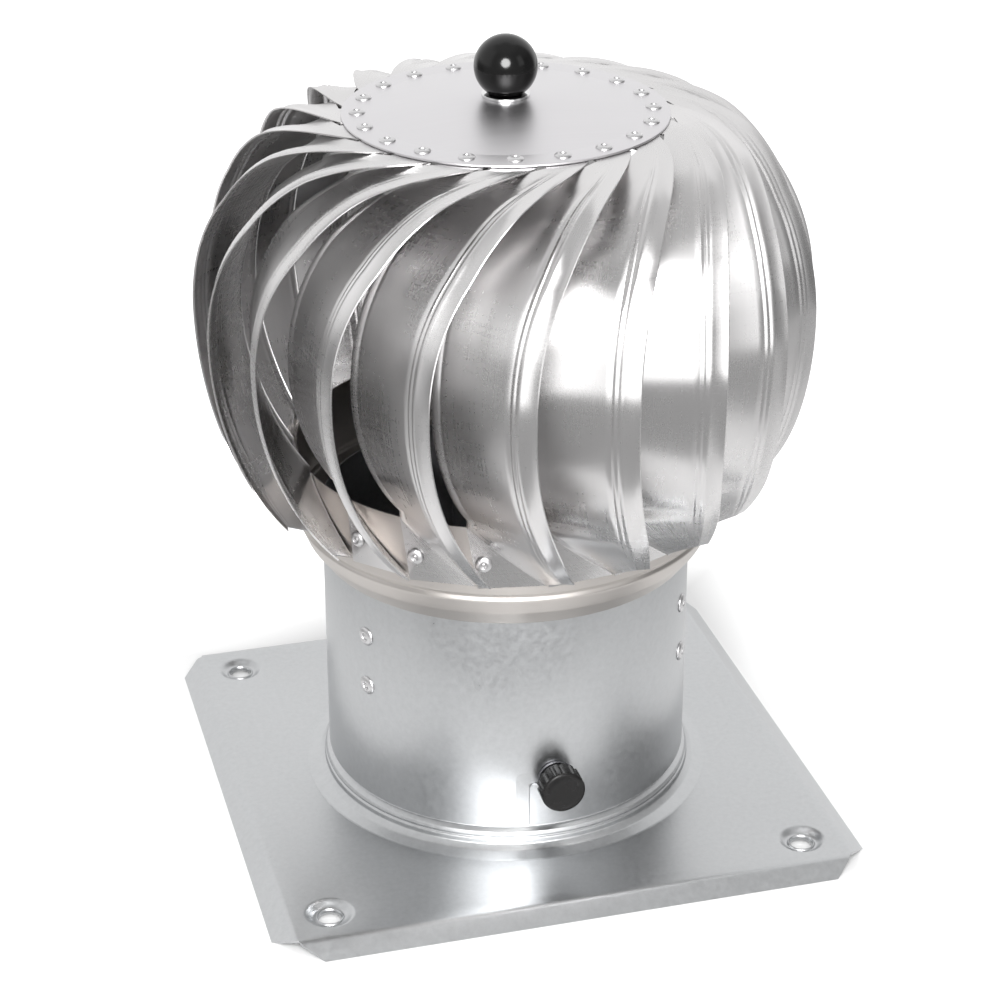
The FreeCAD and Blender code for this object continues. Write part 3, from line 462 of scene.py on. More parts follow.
# across the sheet: -1 to 0 the flat foot, 0 to 1 the panel, 1 to 2 the lip; then the pressed height in mm
bladeProfile = [
    (-1.0, 0.0), (-0.66, 0.0), (-0.33, 0.0),
    (0.0, 0.1), (0.008, 0.42), (0.02, 0.66), (0.036, 0.74), (0.054, 0.66), (0.072, 0.46), (0.088, 0.18),
    (0.1, -0.12), (0.106, -0.14), (0.118, -0.05),
    (0.15, -0.2), (0.22, -0.42), (0.31, -0.64), (0.41, -0.8), (0.52, -0.86), (0.63, -0.78), (0.73, -0.58),
    (0.82, -0.3), (0.872, -0.12), (0.884, -0.34), (0.898, -0.34), (0.912, 0.0), (0.932, 0.05), (0.944, -0.26),
    (0.958, -0.26), (0.972, 0.0), (1.0, 0.0),
    (1.1, -0.16), (1.3, -0.32), (1.55, -0.36), (1.78, -0.22), (1.9, 0.0), (1.95, 0.06), (2.0, -0.2),
]


def bladeRows():
    bottom, low, top = (blade["bottomTurn"], blade["ringTurn"], blade["topTurn"])
    foot = [bottom + (low - bottom) * step / blade["footRows"] for step in range(blade["footRows"])]
    bow = [low + (top - low) * step / blade["bowRows"] for step in range(blade["bowRows"] + 1)]
    return foot + bow + blade["tabRows"]


def bladeInnerSweep(angle):
    # where the inner edge stands below the middle, in degrees from the crest's start
    size = blade
    radius = size["neck"] + size["reach"] * math.cos(math.radians(angle))
    sweep = size["sweepDown"] * ((size["sweepTurn"] - angle) / (size["sweepTurn"] - size["sweepEnd"])) ** 2
    inner = size["wall"]
    width = size["width"]
    back = math.degrees(math.acos((radius ** 2 + inner ** 2 - width ** 2) / (2 * radius * inner)))
    return sweep - back


def makeBladeTree():
    # bends the flat pattern of a blade: its X is the turn round the globe, its Y goes across the sheet
    size = blade
    degree = turn / 360
    top = size["topTurn"]
    graph, inputs = newTree("bladeForm", {
        "Copies": "Int", "First turn": "Float", "Reach": "Float", "Panel width": "Float", "Lip width": "Float",
        "Lean": "Float", "Pressed height": "Float", "Finish": "Material"})
    along, across, pressed = graph.parts(graph.add("GeometryNodeInputPosition"))

    tab = ((along - top) / size["tabTurn"]).share()
    bow = along.atMost(top)
    high = bow.atLeast(0.0)
    low = bow.atMost(0.0)
    radius = size["neck"] + inputs["Reach"] * (bow * degree).cosine() - tab * size["tabLength"]
    lift = (bow * degree).sine()
    height = (size["middle"] + lift.atLeast(0.0) * size["rise"] + lift.atMost(0.0) * size["drop"]
              + tab * (size["tabLength"] * size["rimSlope"]))
    upward = (bow - size["sweepTurn"]) / (top - size["sweepTurn"])
    downward = (size["sweepTurn"] - bow) / (size["sweepTurn"] - size["sweepEnd"])
    sweep = (upward.atLeast(0.0) ** size["sweepUpPower"] * size["sweepUp"]
             + downward.atLeast(0.0) ** 2.0 * size["sweepDown"])
    nearDisc = ((bow - size["narrowTurn"]) / (top - size["narrowTurn"])).share()
    away = 1 - nearDisc
    narrowing = 1 - tab * (size["tabLength"] / size["neck"])
    width = (inputs["Panel width"] * away + nearDisc * size["tabWidth"]) * narrowing
    lean = (inputs["Lean"] + (high / size["leanUpTurn"]) ** 2.0 * size["leanUp"]
            + (-low / size["leanDownTurn"]) ** 2.0 * size["leanDown"]) * away * degree
    rolling = ((bow - size["rollTurn"]) / (top - size["rollTurn"])).share()
    roll = (rolling * math.pi).sine() * (size["roll"] * degree)
    raised = width / 2 * roll.sine()
    insideX = radius - width * lean.sine()
    insideY = width * lean.cosine()
    inner = (insideX * insideX + insideY * insideY).root().atLeast(bow.below(0.0) * size["wall"])
    back = ((radius * radius + inner * inner - width * width) / (radius * inner * 2)).arccosine() / degree

    foot = ((size["ringTurn"] - bow) / (size["ringTurn"] - size["bottomTurn"])).share()
    onRing = bow.below(size["ringTurn"] - 0.01)
    ringSweep = bladeInnerSweep(size["ringTurn"])
    edgeSweep = foot * size["footSlant"] + ringSweep
    creaseSweep = foot * (size["creaseEnd"] - ringSweep) + ringSweep
    flat = size["wall"] / ((creaseSweep - edgeSweep) * (degree / 2)).cosine()
    innerSweep = sweep - back
    rimShare = ((bow - size["rimTurn"]) / (top - size["rimTurn"])).share()
    slope = rimShare * rimShare * size["rimSlope"]
    innerHeight = height - raised - (inner - radius) * slope

    lipAngle = away * (size["lipAngle"] * degree)
    lip = inputs["Lip width"] * away + nearDisc * size["lipTab"]
    lip = (lip + (size["lipEnd"] - lip) * foot) * narrowing
    out = radius + lip * lipAngle.sine()
    side = lip * lipAngle.cosine()
    lipRadius = (out * out + side * side).root()
    lipSweep = sweep + side.step("ARCTAN2", out) / degree
    lipHeight = height + raised * size["lipRoll"] - (lipRadius - radius) * slope

    def either(ring, free):
        return free + (ring - free) * onRing

    def spot(radius, sweep, height):
        angle = sweep * degree
        return radius * angle.sine(), -(radius * angle.cosine()), height

    sheetRadius = either(flat, inner)
    edge = spot(sheetRadius, either(edgeSweep, innerSweep), either(height - foot * size["edgeDrop"], innerHeight))
    crease = spot(sheetRadius, either(creaseSweep, innerSweep), either(height - foot * size["creaseDrop"], innerHeight))
    crest = spot(radius, sweep, height + raised)
    lipEdge = spot(lipRadius, lipSweep, lipHeight)
    onFoot = (across + 1).share()
    onPanel = across.share()
    onLip = (across - 1).share()
    axes = []
    for a, b, c, d in zip(edge, crease, crest, lipEdge):
        axes.append((a + (b - a) * onFoot + (c - b) * onPanel + (d - c) * onLip) * mm)
    grain = graph.join(along * size["grainAlong"], across * size["grainAcross"], 0.0)
    mapped = graph.add("GeometryNodeStoreNamedAttribute",
                       {"Geometry": inputs["Geometry"], "Name": "UVMap", "Value": grain},
                       {"data_type": "FLOAT2", "domain": "CORNER"})
    footPress = ((bow - size["ringTurn"] + size["footFade"] / 2) / size["footFade"]).share()
    footPress = footPress * (1 - size["footPress"]) + size["footPress"]
    pressFade = ((size["pressEnd"] - bow) / size["pressFade"]).share() * footPress
    held = graph.add("GeometryNodeStoreNamedAttribute",
                     {"Geometry": mapped, "Name": "pressed", "Value": pressed * pressFade * inputs["Pressed height"]},
                     {"data_type": "FLOAT", "domain": "POINT"})
    bent = graph.add("GeometryNodeSetPosition", {"Geometry": held, "Position": graph.join(*axes)})
    sewn = graph.add("GeometryNodeMergeByDistance", {0: bent, "Distance": 0.002 * mm})
    normal = graph.add("GeometryNodeInputNormal")
    depth = graph.add("GeometryNodeInputNamedAttribute", {"Name": "pressed"}, {"data_type": "FLOAT"})
    push = graph.add("ShaderNodeVectorMath", {0: normal, "Scale": depth * mm}, {"operation": "SCALE"})
    ribbed = graph.add("GeometryNodeSetPosition", {"Geometry": sewn, "Offset": push})
    copies = graph.add("GeometryNodeGroup",
                       {"Geometry": ribbed, "Copies": inputs["Copies"], "First turn": inputs["First turn"],
                        "Weld": 0.0, "Finish": inputs["Finish"]}, {"node_tree": roundTree})
    real = graph.add("GeometryNodeRealizeInstances", {0: copies})
    painted = graph.add("GeometryNodeSetMaterial", {"Geometry": real, "Material": inputs["Finish"]})
    graph.add("NodeGroupOutput", {0: painted}, out=None)
    return graph.tree


def makeBlades():
    rows = bladeRows()
    vertices = [(along, across, pressed) for along in rows for across, pressed in bladeProfile]
    # the pattern's faces look the other way, so that the lines are pressed outwards
    faces = [(a, d, c, b) for a, b, c, d in gridFaces(len(rows), len(bladeProfile), around=False, closed=False)]
    mesh = bpy.data.meshes.new("bladePattern")
    mesh.from_pydata(vertices, [], faces)
    piece = addObject("blades", mesh)
    useTree(piece, makeBladeTree(), {
        "Copies": blade["copies"], "First turn": blade["firstTurn"], "Reach": blade["reach"],
        "Panel width": blade["width"], "Lip width": blade["lip"], "Lean": blade["lean"],
        "Pressed height": 1.0, "Finish": bladeSteel})
    sheet = piece.modifiers.new("sheet", "SOLIDIFY")
    sheet.thickness = blade["sheet"] * mm
    sheet.offset = -1
    sheet.use_rim = True
    freeze(piece)
    smooth(piece.data, 38)
    nodes = [f"blade_{number:02d}" for number in range(1, blade["copies"] + 1)]
    return place(piece, "head", "stainless_sheet", *nodes)


blades = makeBlades()
print("blades formed", len(blades.data.polygons))


# rivets

rivet = {
    "radius": 3.25, "height": 1.2,
    "discCircle": 58.1, "discSeat": 297.66, "discSlope": 0.033, "discTurn": 37.3,
    "ringSeat": 87.73, "ringLevel": 143.0, "ringTurn": -7.9,
    "arms": 3, "armRadius": 4.0, "armSeat": 76.82, "armLevels": (68.0, 91.0), "armTurn": 57.0,
}


def rivetHead(radius, height):
    # blind rivet: a low domed flange with the end of its pin sunk in the middle
    shares = [(0.0, 0.0), (1.0, 0.0), (1.0, 0.2), (0.93, 0.48), (0.76, 0.78), (0.58, 0.95), (0.46, 1.0),
              (0.40, 0.9), (0.36, 0.42), (0.3, 0.38), (0.25, 0.62), (0.14, 0.7), (0.0, 0.72)]
    return [(radius * across, height * up) for across, up in shares]


def makeHeads(name, radius, spots, copies, firstTurn, body, node):
    head = lathe(name, rivetHead(radius, rivet["height"]), rivetMetal, 28, closed=False)
    shape = bmesh.new()
    for spot in spots:
        part = head.data.copy()
        part.transform(spot)
        shape.from_mesh(part)
    shape.to_mesh(head.data)
    shape.free()
    copyRound(head, copies, firstTurn, 0.0, rivetMetal)
    freeze(head)
    smooth(head.data, 50)
    return place(head, body, "rivet_metal", node)


def footTouch(level):
    # where the middle of a blade's foot stands at this height on the ring, in degrees
    angle = math.degrees(math.asin((level - blade["middle"]) / blade["drop"]))
    low = (blade["ringTurn"] - angle) / (blade["ringTurn"] - blade["bottomTurn"])
    ringSweep = bladeInnerSweep(blade["ringTurn"])
    edge = ringSweep + blade["footSlant"] * low
    crease = ringSweep + (blade["creaseEnd"] - ringSweep) * low
    return (edge + crease) / 2


discSpot = (Matrix.Translation(Vector((0, -rivet["discCircle"], rivet["discSeat"])) * mm)
            @ Matrix.Rotation(rivet["discSlope"], 4, "X"))
makeHeads("discRivetHeads", rivet["radius"], [discSpot], blade["copies"], blade["firstTurn"] + rivet["discTurn"],
          "head", "disc_rivets")
touch = footTouch(rivet["ringLevel"])
beside = (blade["wall"] - blade["sheet"]) * math.tan(math.radians(touch - rivet["ringTurn"]))
ringSpot = outwards(rivet["ringSeat"], rivet["ringLevel"], -beside)
makeHeads("ringRivetHeads", rivet["radius"], [ringSpot], blade["copies"], blade["firstTurn"] + touch,
          "head", "ring_rivets")
armSpots = [outwards(rivet["armSeat"], level) for level in rivet["armLevels"]]
makeHeads("armRivetHeads", rivet["armRadius"], armSpots, rivet["arms"], rivet["armTurn"],
          "turning_sleeve", "arm_rivets")
print("rivets set")


# turned sheet pieces

ring = {"outer": 86.9, "mouth": 78.8, "sheet": 0.5, "low": 112.1, "top": 158.1, "flare": 14.0, "bulge": 1.2,
        "edgeRise": 1.7, "groove": 0.9, "grooveHalf": 1.6, "wallStart": 30}


def makeRing():
    outer = ring["outer"]
    mouth = ring["mouth"]
    low = ring["low"]
    bend = low + ring["flare"]
    bulge = ring["bulge"]
    half = ring["grooveHalf"]
    side = [
        (mouth, low), (mouth + bulge, low + ring["edgeRise"], 2),
        ((mouth + outer) / 2 + bulge, low + ring["flare"] / 2, 8), (outer, bend, 4),
        (outer - ring["groove"], bend + half, 0.8), (outer, bend + 2 * half, 1.2),
        (outer, low + ring["wallStart"]), (outer, ring["top"]),
    ]
    outside = rounded(side, 0.4, 6, closed=False)
    inside = [(radius - ring["sheet"], height) for radius, height in reversed(outside)]
    piece = lathe("rotorRing", outside + inside, ringSteel, 200, sharp=40)
    return place(piece, "head", "stainless_sheet", "rotor_ring")


disc = {"radius": 64.5, "rimInner": 54.0, "rim": 297.45, "rimRise": 0.35, "crown": 303.58, "crownRadius": 9.5,
        "sheet": 1.0, "hole": 4.0}


def makeDisc():
    # a flat rim that carries the rivets and a shallow cone up to the washer
    rim = disc["rim"]
    fold = rim + disc["rimRise"]
    crown = disc["crown"]
    sheet = disc["sheet"]
    outline = rounded([
        (disc["hole"], crown - sheet, 0), (disc["crownRadius"], crown - sheet, 6),
        (disc["rimInner"], fold - sheet, 1), (disc["radius"], rim - sheet, 0.3), (disc["radius"], rim, 0.45),
        (disc["rimInner"], fold, 1), (disc["crownRadius"], crown, 6), (disc["hole"], crown, 0),
    ], steps=5)
    piece = lathe("topDisc", outline, discSteel, 192, sharp=45)
    return place(piece, "head", "stainless_sheet", "top_disc")


# how far from the axis the cutters for the neck's hole and the sleeve's slot stand
cut = {"near": 60, "far": 90}

neck = {"bore": 75.0, "outer": 75.7, "top": 55.0, "flange": 80.0, "flangeLow": 3.3, "flangeTop": 4.0,
        "footLevel": 5.03, "footEdge": 5.14, "hole": 2.8, "screwLevel": 38.0}


def makeNeck():
    # the outline goes up the inside of the bead, out to the foot's edge and back over foot and bead
    bore = neck["bore"]
    outer = neck["outer"]
    low = neck["flangeLow"]
    high = neck["flangeTop"]
    outline = rounded([
        (bore, low, 0.5), (neck["flange"], low, 0.2), (neck["flange"], high, 0.2), (outer, high, 0.2),
        (outer, 13.6, 0.6), (77.4, 12.0, 0.8), (77.9, 9.0, 0.8), (78.2, 7.6, 0.8),
        (85.0, neck["footLevel"], 0.3), (87.0, neck["footLevel"], 0.05), (86.0, neck["footEdge"], 2.0),
        (81.4, 6.5, 3.5), (78.9, 8.3, 0.9), (78.9, 10.3, 0.9), (77.9, 10.9, 0.45), (78.7, 11.7, 0.9), (78.0, 13.2, 1.2),
        (outer, 14.5, 0.5), (outer, neck["top"], 0.3), (bore, neck["top"], 0.3),
    ], steps=4)
    piece = lathe("neckCollar", outline, galvanised, 200, sharp=50)
    rod = [(0, -cut["far"]), (neck["hole"], -cut["far"]), (neck["hole"], -cut["near"]), (0, -cut["near"])]
    hole = lathe("holeCutter", rod, galvanised, 40, closed=False)
    forwards = Matrix.Rotation(math.radians(-90), 4, "X")
    hole.data.transform(Matrix.Translation((0, 0, neck["screwLevel"] * mm)) @ forwards)
    weld(hole.data)
    cutAway(piece, hole)
    smooth(piece.data, 50)
    return place(piece, "base", "galvanised_sheet", "neck_collar")


sleeve = {"inner": 76.1, "outer": 76.8, "low": 15.9, "top": 130.0, "bandTop": 45.9, "slotRadius": 2.8,
          "slotTurn": 13.3, "slotLevel": 38.0, "slotCorner": 1.2, "slotBelow": 3}


def makeSlotCutter():
    # the L-shaped slot as a thick plate: up its right side, round the end of its upper leg, down its left side
    radius = sleeve["slotRadius"]
    left = -sleeve["slotTurn"]
    level = sleeve["slotLevel"]
    corner = sleeve["slotCorner"]
    bottom = sleeve["low"] - sleeve["slotBelow"]
    right = left + radius
    outline = [(right, bottom), (right, level - radius - corner), (right + corner, level - radius)]
    ends = [(0, math.pi * (step / 12 - 0.5)) for step in range(13)]
    ends += [(left, math.pi / 2 * (1 + step / 6)) for step in range(7)]
    outline += [(x + radius * math.cos(angle), level + radius * math.sin(angle)) for x, angle in ends]
    outline.append((left - radius, bottom))
    count = len(outline)
    vertices = [(x, -cut["far"], z) for x, z in outline] + [(x, -cut["near"], z) for x, z in outline]
    faces = [tuple(range(count)), tuple(reversed(range(count, 2 * count)))]
    faces += [(i, (i + 1) % count, count + (i + 1) % count, count + i) for i in range(count)]
    cutter = newPiece("slotCutter", vertices, faces, galvanised)
    weld(cutter.data)
    return cutter


def makeSleeve():
    inner = sleeve["inner"]
    outer = sleeve["outer"]
    outline = rounded([
        (inner, sleeve["low"], 0.2), (outer, sleeve["low"], 0.3), (outer, sleeve["bandTop"], 0),
        (outer, sleeve["top"], 0.3), (inner, sleeve["top"], 0.2),
    ])
    piece = lathe("sleeveTube", outline, galvanised, 240, sharp=50)
    cutAway(piece, makeSlotCutter())
    smooth(piece.data, 50)
    return place(piece, "turning_sleeve", "galvanised_sheet", "sleeve")


makeRing()
makeDisc()
makeNeck()
makeSleeve()
print("ring, disc, neck and sleeve turned")


# base plate

plate = {"half": 117.0, "top": 5.0, "sheet": 1.0, "lean": 8.0, "fold": 1.6, "foldSteps": 5, "flangeMiddle": 0.62,
         "cornerCut": 8.5, "bolt": 100.0, "boltSides": 48, "neckHole": 76.3, "neckSides": 128}

# radius and depth below the plate's top, from the rim of a dimple to its hole
dimple = [(10.6, 0.0), (10.0, 0.06), (9.3, 0.3), (8.5, 0.85), (7.7, 1.5), (6.9, 2.05), (6.25, 2.3), (5.85, 2.3),
          (5.6, 2.0), (5.35, 1.72), (5.1, 1.68), (4.85, 1.95), (4.65, 2.5), (4.5, 3.2), (4.5, 3.6)]


def ringPoints(shape, x, y, radius, height, count):
    points = []
    for step in range(count):
        angle = turn * step / count
        points.append(shape.verts.new((x + radius * math.cos(angle), y + radius * math.sin(angle), height)))
    return points


def makePlate():
    shape = bmesh.new()
    top = plate["top"]
    lean = Vector((plate["lean"], -top)).normalized()
    reach = plate["fold"]
    start = plate["half"] - reach
    loops = []
    corners = [(-start, -start), (start, -start), (start, start), (-start, start)]
    square = [shape.verts.new((x, y, top)) for x, y in corners]
    edges = [shape.edges.new((square[i], square[(i + 1) % 4])) for i in range(4)]
    sides = plate["boltSides"]
    for x, y in ((1, 1), (-1, 1), (-1, -1), (1, -1)):
        before = ringPoints(shape, x * plate["bolt"], y * plate["bolt"], dimple[0][0], top, sides)
        loops.append(before)
        for radius, depth in dimple[1:]:
            after = ringPoints(shape, x * plate["bolt"], y * plate["bolt"], radius, top - depth, sides)
            for i in range(sides):
                shape.faces.new((before[i], before[(i + 1) % sides], after[(i + 1) % sides], after[i]))
            before = after
    loops.append(ringPoints(shape, 0, 0, plate["neckHole"], top, plate["neckSides"]))
    for loop in loops:
        for i, point in enumerate(loop):
            pair = (point, loop[(i + 1) % len(loop)])
            edges.append(shape.edges.get(pair) or shape.edges.new(pair))
    bmesh.ops.triangle_fill(shape, use_beauty=True, use_dissolve=False, edges=edges)

    # each side: a rounded fold, then the leaning flange with mitred ends
    section = []
    corner = Vector((plate["half"], top))
    for step in range(1, plate["foldSteps"] + 1):
        part = step / plate["foldSteps"]
        flat = Vector((start, top)).lerp(corner, part)
        down = corner.lerp(corner + lean * reach, part)
        section.append(flat.lerp(down, part))
    middle = plate["flangeMiddle"]
    section.append(Vector((plate["half"] + plate["lean"] * middle, top * (1 - middle))))
    section.append(Vector((plate["half"] + plate["lean"], 0.0)))
    for side in range(4):
        turned = Matrix.Rotation(math.radians(90 * side), 4, "Z")
        before = [shape.verts.new(turned @ Vector((start, y, top))) for y in (-start, start)]
        for x, z in section:
            inset = plate["cornerCut"] * (top - z) / top
            end = start - inset
            after = [shape.verts.new(turned @ Vector((x, y, z))) for y in (-end, end)]
            shape.faces.new((before[0], after[0], after[1], before[1]))
            before = after
    bmesh.ops.remove_doubles(shape, verts=shape.verts, dist=0.01)
    bmesh.ops.recalc_face_normals(shape, faces=shape.faces)
    for spot in shape.verts:
        spot.co *= mm
    mesh = bpy.data.meshes.new("basePlate")
    shape.to_mesh(mesh)
    shape.free()
    upward = sum(face.normal.z * face.area for face in mesh.polygons)
    if upward < 0:
        mesh.flip_normals()
    piece = newObject("basePlate", mesh, galvanised, 60)
    sheet = piece.modifiers.new("sheet", "SOLIDIFY")
    sheet.thickness = plate["sheet"] * mm
    sheet.offset = -1
    freeze(piece)
    for spot in piece.data.vertices:
        spot.co.z = max(spot.co.z, 0.0)
    smooth(piece.data, 40)
    return place(piece, "base", "galvanised_sheet", "base_plate")


makePlate()
print("base plate folded")


# clamp

knob = {"radius": 9.2, "collar": 6.8, "back": 78.1, "collarLength": 3.6, "length": 8.4, "ribs": 16, "flute": 0.75,
        "fluteHalf": 0.24, "bore": 2.5, "face": 4.0, "faceDepth": 0.14, "level": 38.0}
clampWasher = {"inner": 2.55, "outer": 7.5, "low": 77.1, "thickness": 1.0}
clampScrew = {"radius": 2.5, "low": 68.0, "high": 85.9, "pitch": 0.8, "depth": 0.35, "plainLow": 0.4, "plainHigh": 4.5,
              "runOut": 0.6, "around": 24, "rows": 6}


def makeKnob():
    # one flute with half a rib at each side, copied round the knob's own axis; the rows say how deep it is cut
    back = knob["back"]
    hub = knob["collar"]
    collar = back + knob["collarLength"]
    front = collar + knob["length"]
    radius = knob["radius"]
    face = front - knob["faceDepth"]
    rows = [
        (knob["bore"], back, 0), (hub - 0.3, back, 0), (hub, back + 0.3, 0),
        (hub, collar - 0.6, 0), (hub + 0.15, collar - 0.25, 0), (hub + 0.6, collar - 0.05, 0),
        (radius - 1.5, collar, 0), (radius - 0.35, collar, 1), (radius, collar + 0.35, 1), (radius, collar + 3.0, 1),
        (radius, front - 1.5, 1), (radius - 0.06, front - 1.15, 0.8), (radius - 0.12, front - 1.0, 0),
        (radius - 0.28, front - 0.6, 0), (radius - 0.7, front - 0.16, 0), (radius - 1.25, front, 0),
        (radius - 1.9, front, 0), (radius - 2.15, face, 0), (knob["face"], face, 0), (0.0, face, 0),
    ]
    wedge = turn / knob["ribs"]
    shares = [-0.5, -0.4, -0.3, -0.22, -0.17, -0.1, 0.0, 0.1, 0.17, 0.22, 0.3, 0.4, 0.5]
    vertices = []
    for part in shares:
        angle = part * wedge
        deep = max(0.0, 1 - (part / knob["fluteHalf"]) ** 2) ** 0.5
        for r, z, fluted in rows:
            reach = r - knob["flute"] * deep * fluted
            vertices.append((reach * math.sin(angle), -reach * math.cos(angle), z))
    faces = gridFaces(len(shares), len(rows), around=False, closed=False)
    piece = newPiece("clampKnob", vertices, faces, satinBlack)
    copyRound(piece, knob["ribs"], 0.0, 0.003, satinBlack)
    freeze(piece)
    weld(piece.data, 0.005)
    smooth(piece.data, 35)
    towardsFront(piece, knob["level"])
    return place(piece, "knob", "satin_black", "clamp_knob")


def makeWasher(name, size, finish):
    inner = size["inner"]
    outer = size["outer"]
    low = size["low"]
    high = low + size["thickness"]
    outline = rounded([(inner, low), (outer, low, 0.15), (outer, high, 0.35), (inner, high, 0.2)], 0.15)
    return lathe(name, outline, finish, 96, sharp=45)


def makeThread(name, size, finish):
    # a rod with a helical thread between its plain ends
    low = size["low"]
    high = size["high"]
    pitch = size["pitch"]
    around = size["around"]
    levels = int((high - low) / (pitch / size["rows"]))
    vertices = [(0, 0, low)]
    for level in range(levels + 1):
        z = low + (high - low) * level / levels
        for step in range(around):
            angle = turn * step / around
            wave = abs(((z / pitch + step / around) % 1) * 2 - 1)
            fadeLow = min(1.0, max(0.0, (z - low - size["plainLow"]) / size["runOut"]))
            fadeHigh = min(1.0, max(0.0, (high - size["plainHigh"] - z) / size["runOut"]))
            reach = size["radius"] - size["depth"] * wave * fadeLow * fadeHigh
            vertices.append((reach * math.cos(angle), reach * math.sin(angle), z))
    vertices.append((0, 0, high))
    faces = []
    for step in range(around):
        after = (step + 1) % around
        faces.append((0, 1 + after, 1 + step))
        for level in range(levels):
            first = 1 + level * around
            faces.append((first + step, first + after, first + around + after, first + around + step))
        last = 1 + levels * around
        faces.append((last + step, last + after, len(vertices) - 1))
    return newPiece(name, vertices, faces, finish, 50)


def makeHexNut(name, size, finish):
    # six flats whose corners are turned off at both ends
    around = 96
    bore = size["bore"]
    low = size["low"]
    thickness = size["thickness"]
    chamfer = size["chamfer"]
    half = size["flats"] / 2
    cone = half / math.cos(math.pi / 6)
    between = half + (cone - half) * 0.6
    levels = [(0.0, half * 0.99), (chamfer * 0.5, between), (chamfer, cone + 0.1),
              (thickness - chamfer, cone + 0.1), (thickness - chamfer * 0.5, between), (thickness, half * 0.99)]
    vertices = []
    for step in range(around):
        angle = turn * step / around
        flat = half / math.cos((angle + math.pi / 6) % (math.pi / 3) - math.pi / 6)
        column = [(bore, low)] + [(min(flat, limit), low + z) for z, limit in levels] + [(bore, low + thickness)]
        for reach, z in column:
            vertices.append((reach * math.cos(angle), reach * math.sin(angle), z))
    piece = newPiece(name, vertices, gridFaces(around, len(levels) + 2), finish, 30)
    weld(piece.data, 0.002)
    smooth(piece.data, 25)
    return piece


makeKnob()
washer = makeWasher("clampWasher", clampWasher, darkSteel)
place(towardsFront(washer, knob["level"]), "washer", "zinc_fastener", "clamp_washer")
screw = makeThread("clampScrew", clampScrew, darkSteel)
place(towardsFront(screw, knob["level"]), "knob", "zinc_fastener", "clamp_screw")
print("clamp made")


# top of the shaft

ball = {"radius": 12.5, "seat": 304.8, "middle": 315.4, "bore": 4.0, "boreTop": 312.8, "edge": 0.5, "edgeRise": 0.12,
        "rows": 40}
topWasher = {"inner": 4.0, "outer": 9.6, "low": 303.6, "thickness": 1.2}
nuts = {
    "topNut": {"node": "top_nut", "flats": 13.0, "bore": 4.0, "low": 298.4, "thickness": 4.1, "chamfer": 0.8},
    "discNut": {"node": "disc_nut", "flats": 13.0, "bore": 4.0, "low": 291.9, "thickness": 6.5, "chamfer": 0.8},
    "shaftNut": {"node": "shaft_nut", "flats": 19.0, "bore": 6.0, "low": 81.0, "thickness": 8.0, "chamfer": 1.2},
}


def makeBall():
    radius = ball["radius"]
    seat = ball["seat"]
    start = math.asin((seat - ball["middle"]) / radius)
    seatRadius = radius * math.cos(start)
    outline = [(0.0, ball["boreTop"]), (ball["bore"], ball["boreTop"]), (ball["bore"], seat),
               (seatRadius - ball["edge"], seat), (seatRadius, seat + ball["edgeRise"])]
    for step in range(1, ball["rows"] + 1):
        angle = start + (math.pi / 2 - start) * step / ball["rows"]
        outline.append((max(0.0, radius * math.cos(angle)), ball["middle"] + radius * math.sin(angle)))
    piece = lathe("ballKnob", outline, glossBlack, 96, closed=False, sharp=50)
    return place(piece, "head", "gloss_black", "ball_knob")


ballKnob = makeBall()
place(makeWasher("topWasher", topWasher, washerSteel), "head", "zinc_fastener", "top_washer")
for name, size in nuts.items():
    place(makeHexNut(name, size, zincPlate), "head", "zinc_fastener", size["node"])
print("ball, washer and nuts made")


# finishes of the other solids

kept = {
    "shaft": turnedSteel, "bearing_inner_rings": turnedSteel, "bearing_outer_rings": turnedSteel,
    "housing_clips": turnedSteel, "bearing_housing": barSteel, "bearing_arm_1": barSteel,
    "bearing_arm_2": barSteel, "bearing_arm_3": barSteel, "clamp_nut": zincPlate,
}
for name, finish in kept.items():
    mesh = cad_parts[name].data
    mesh.materials.clear()
    mesh.materials.append(finish)


# studio

studio = {
    "floorGlow": 0.6, "floorFront": 0.235, "floorBack": 3.0, "floorLeft": 0.60, "floorRight": 0.90,
    "glowFrom": 0.127, "glowFade": 0.05, "nearEnd": 0.18, "farFade": 0.27,
    "floorSeen": (0.78, 0.78, 0.78, 1), "floorNear": (0.80, 0.80, 0.80, 1), "floorFar": (0.46, 0.46, 0.46, 1),
    "air": 1.05, "wall": 0.46, "leftWall": 1.0, "ceiling": 0.70, "back": 1.15, "below": 0.46, "shade": 0.22,
    "window": 1.15,
}


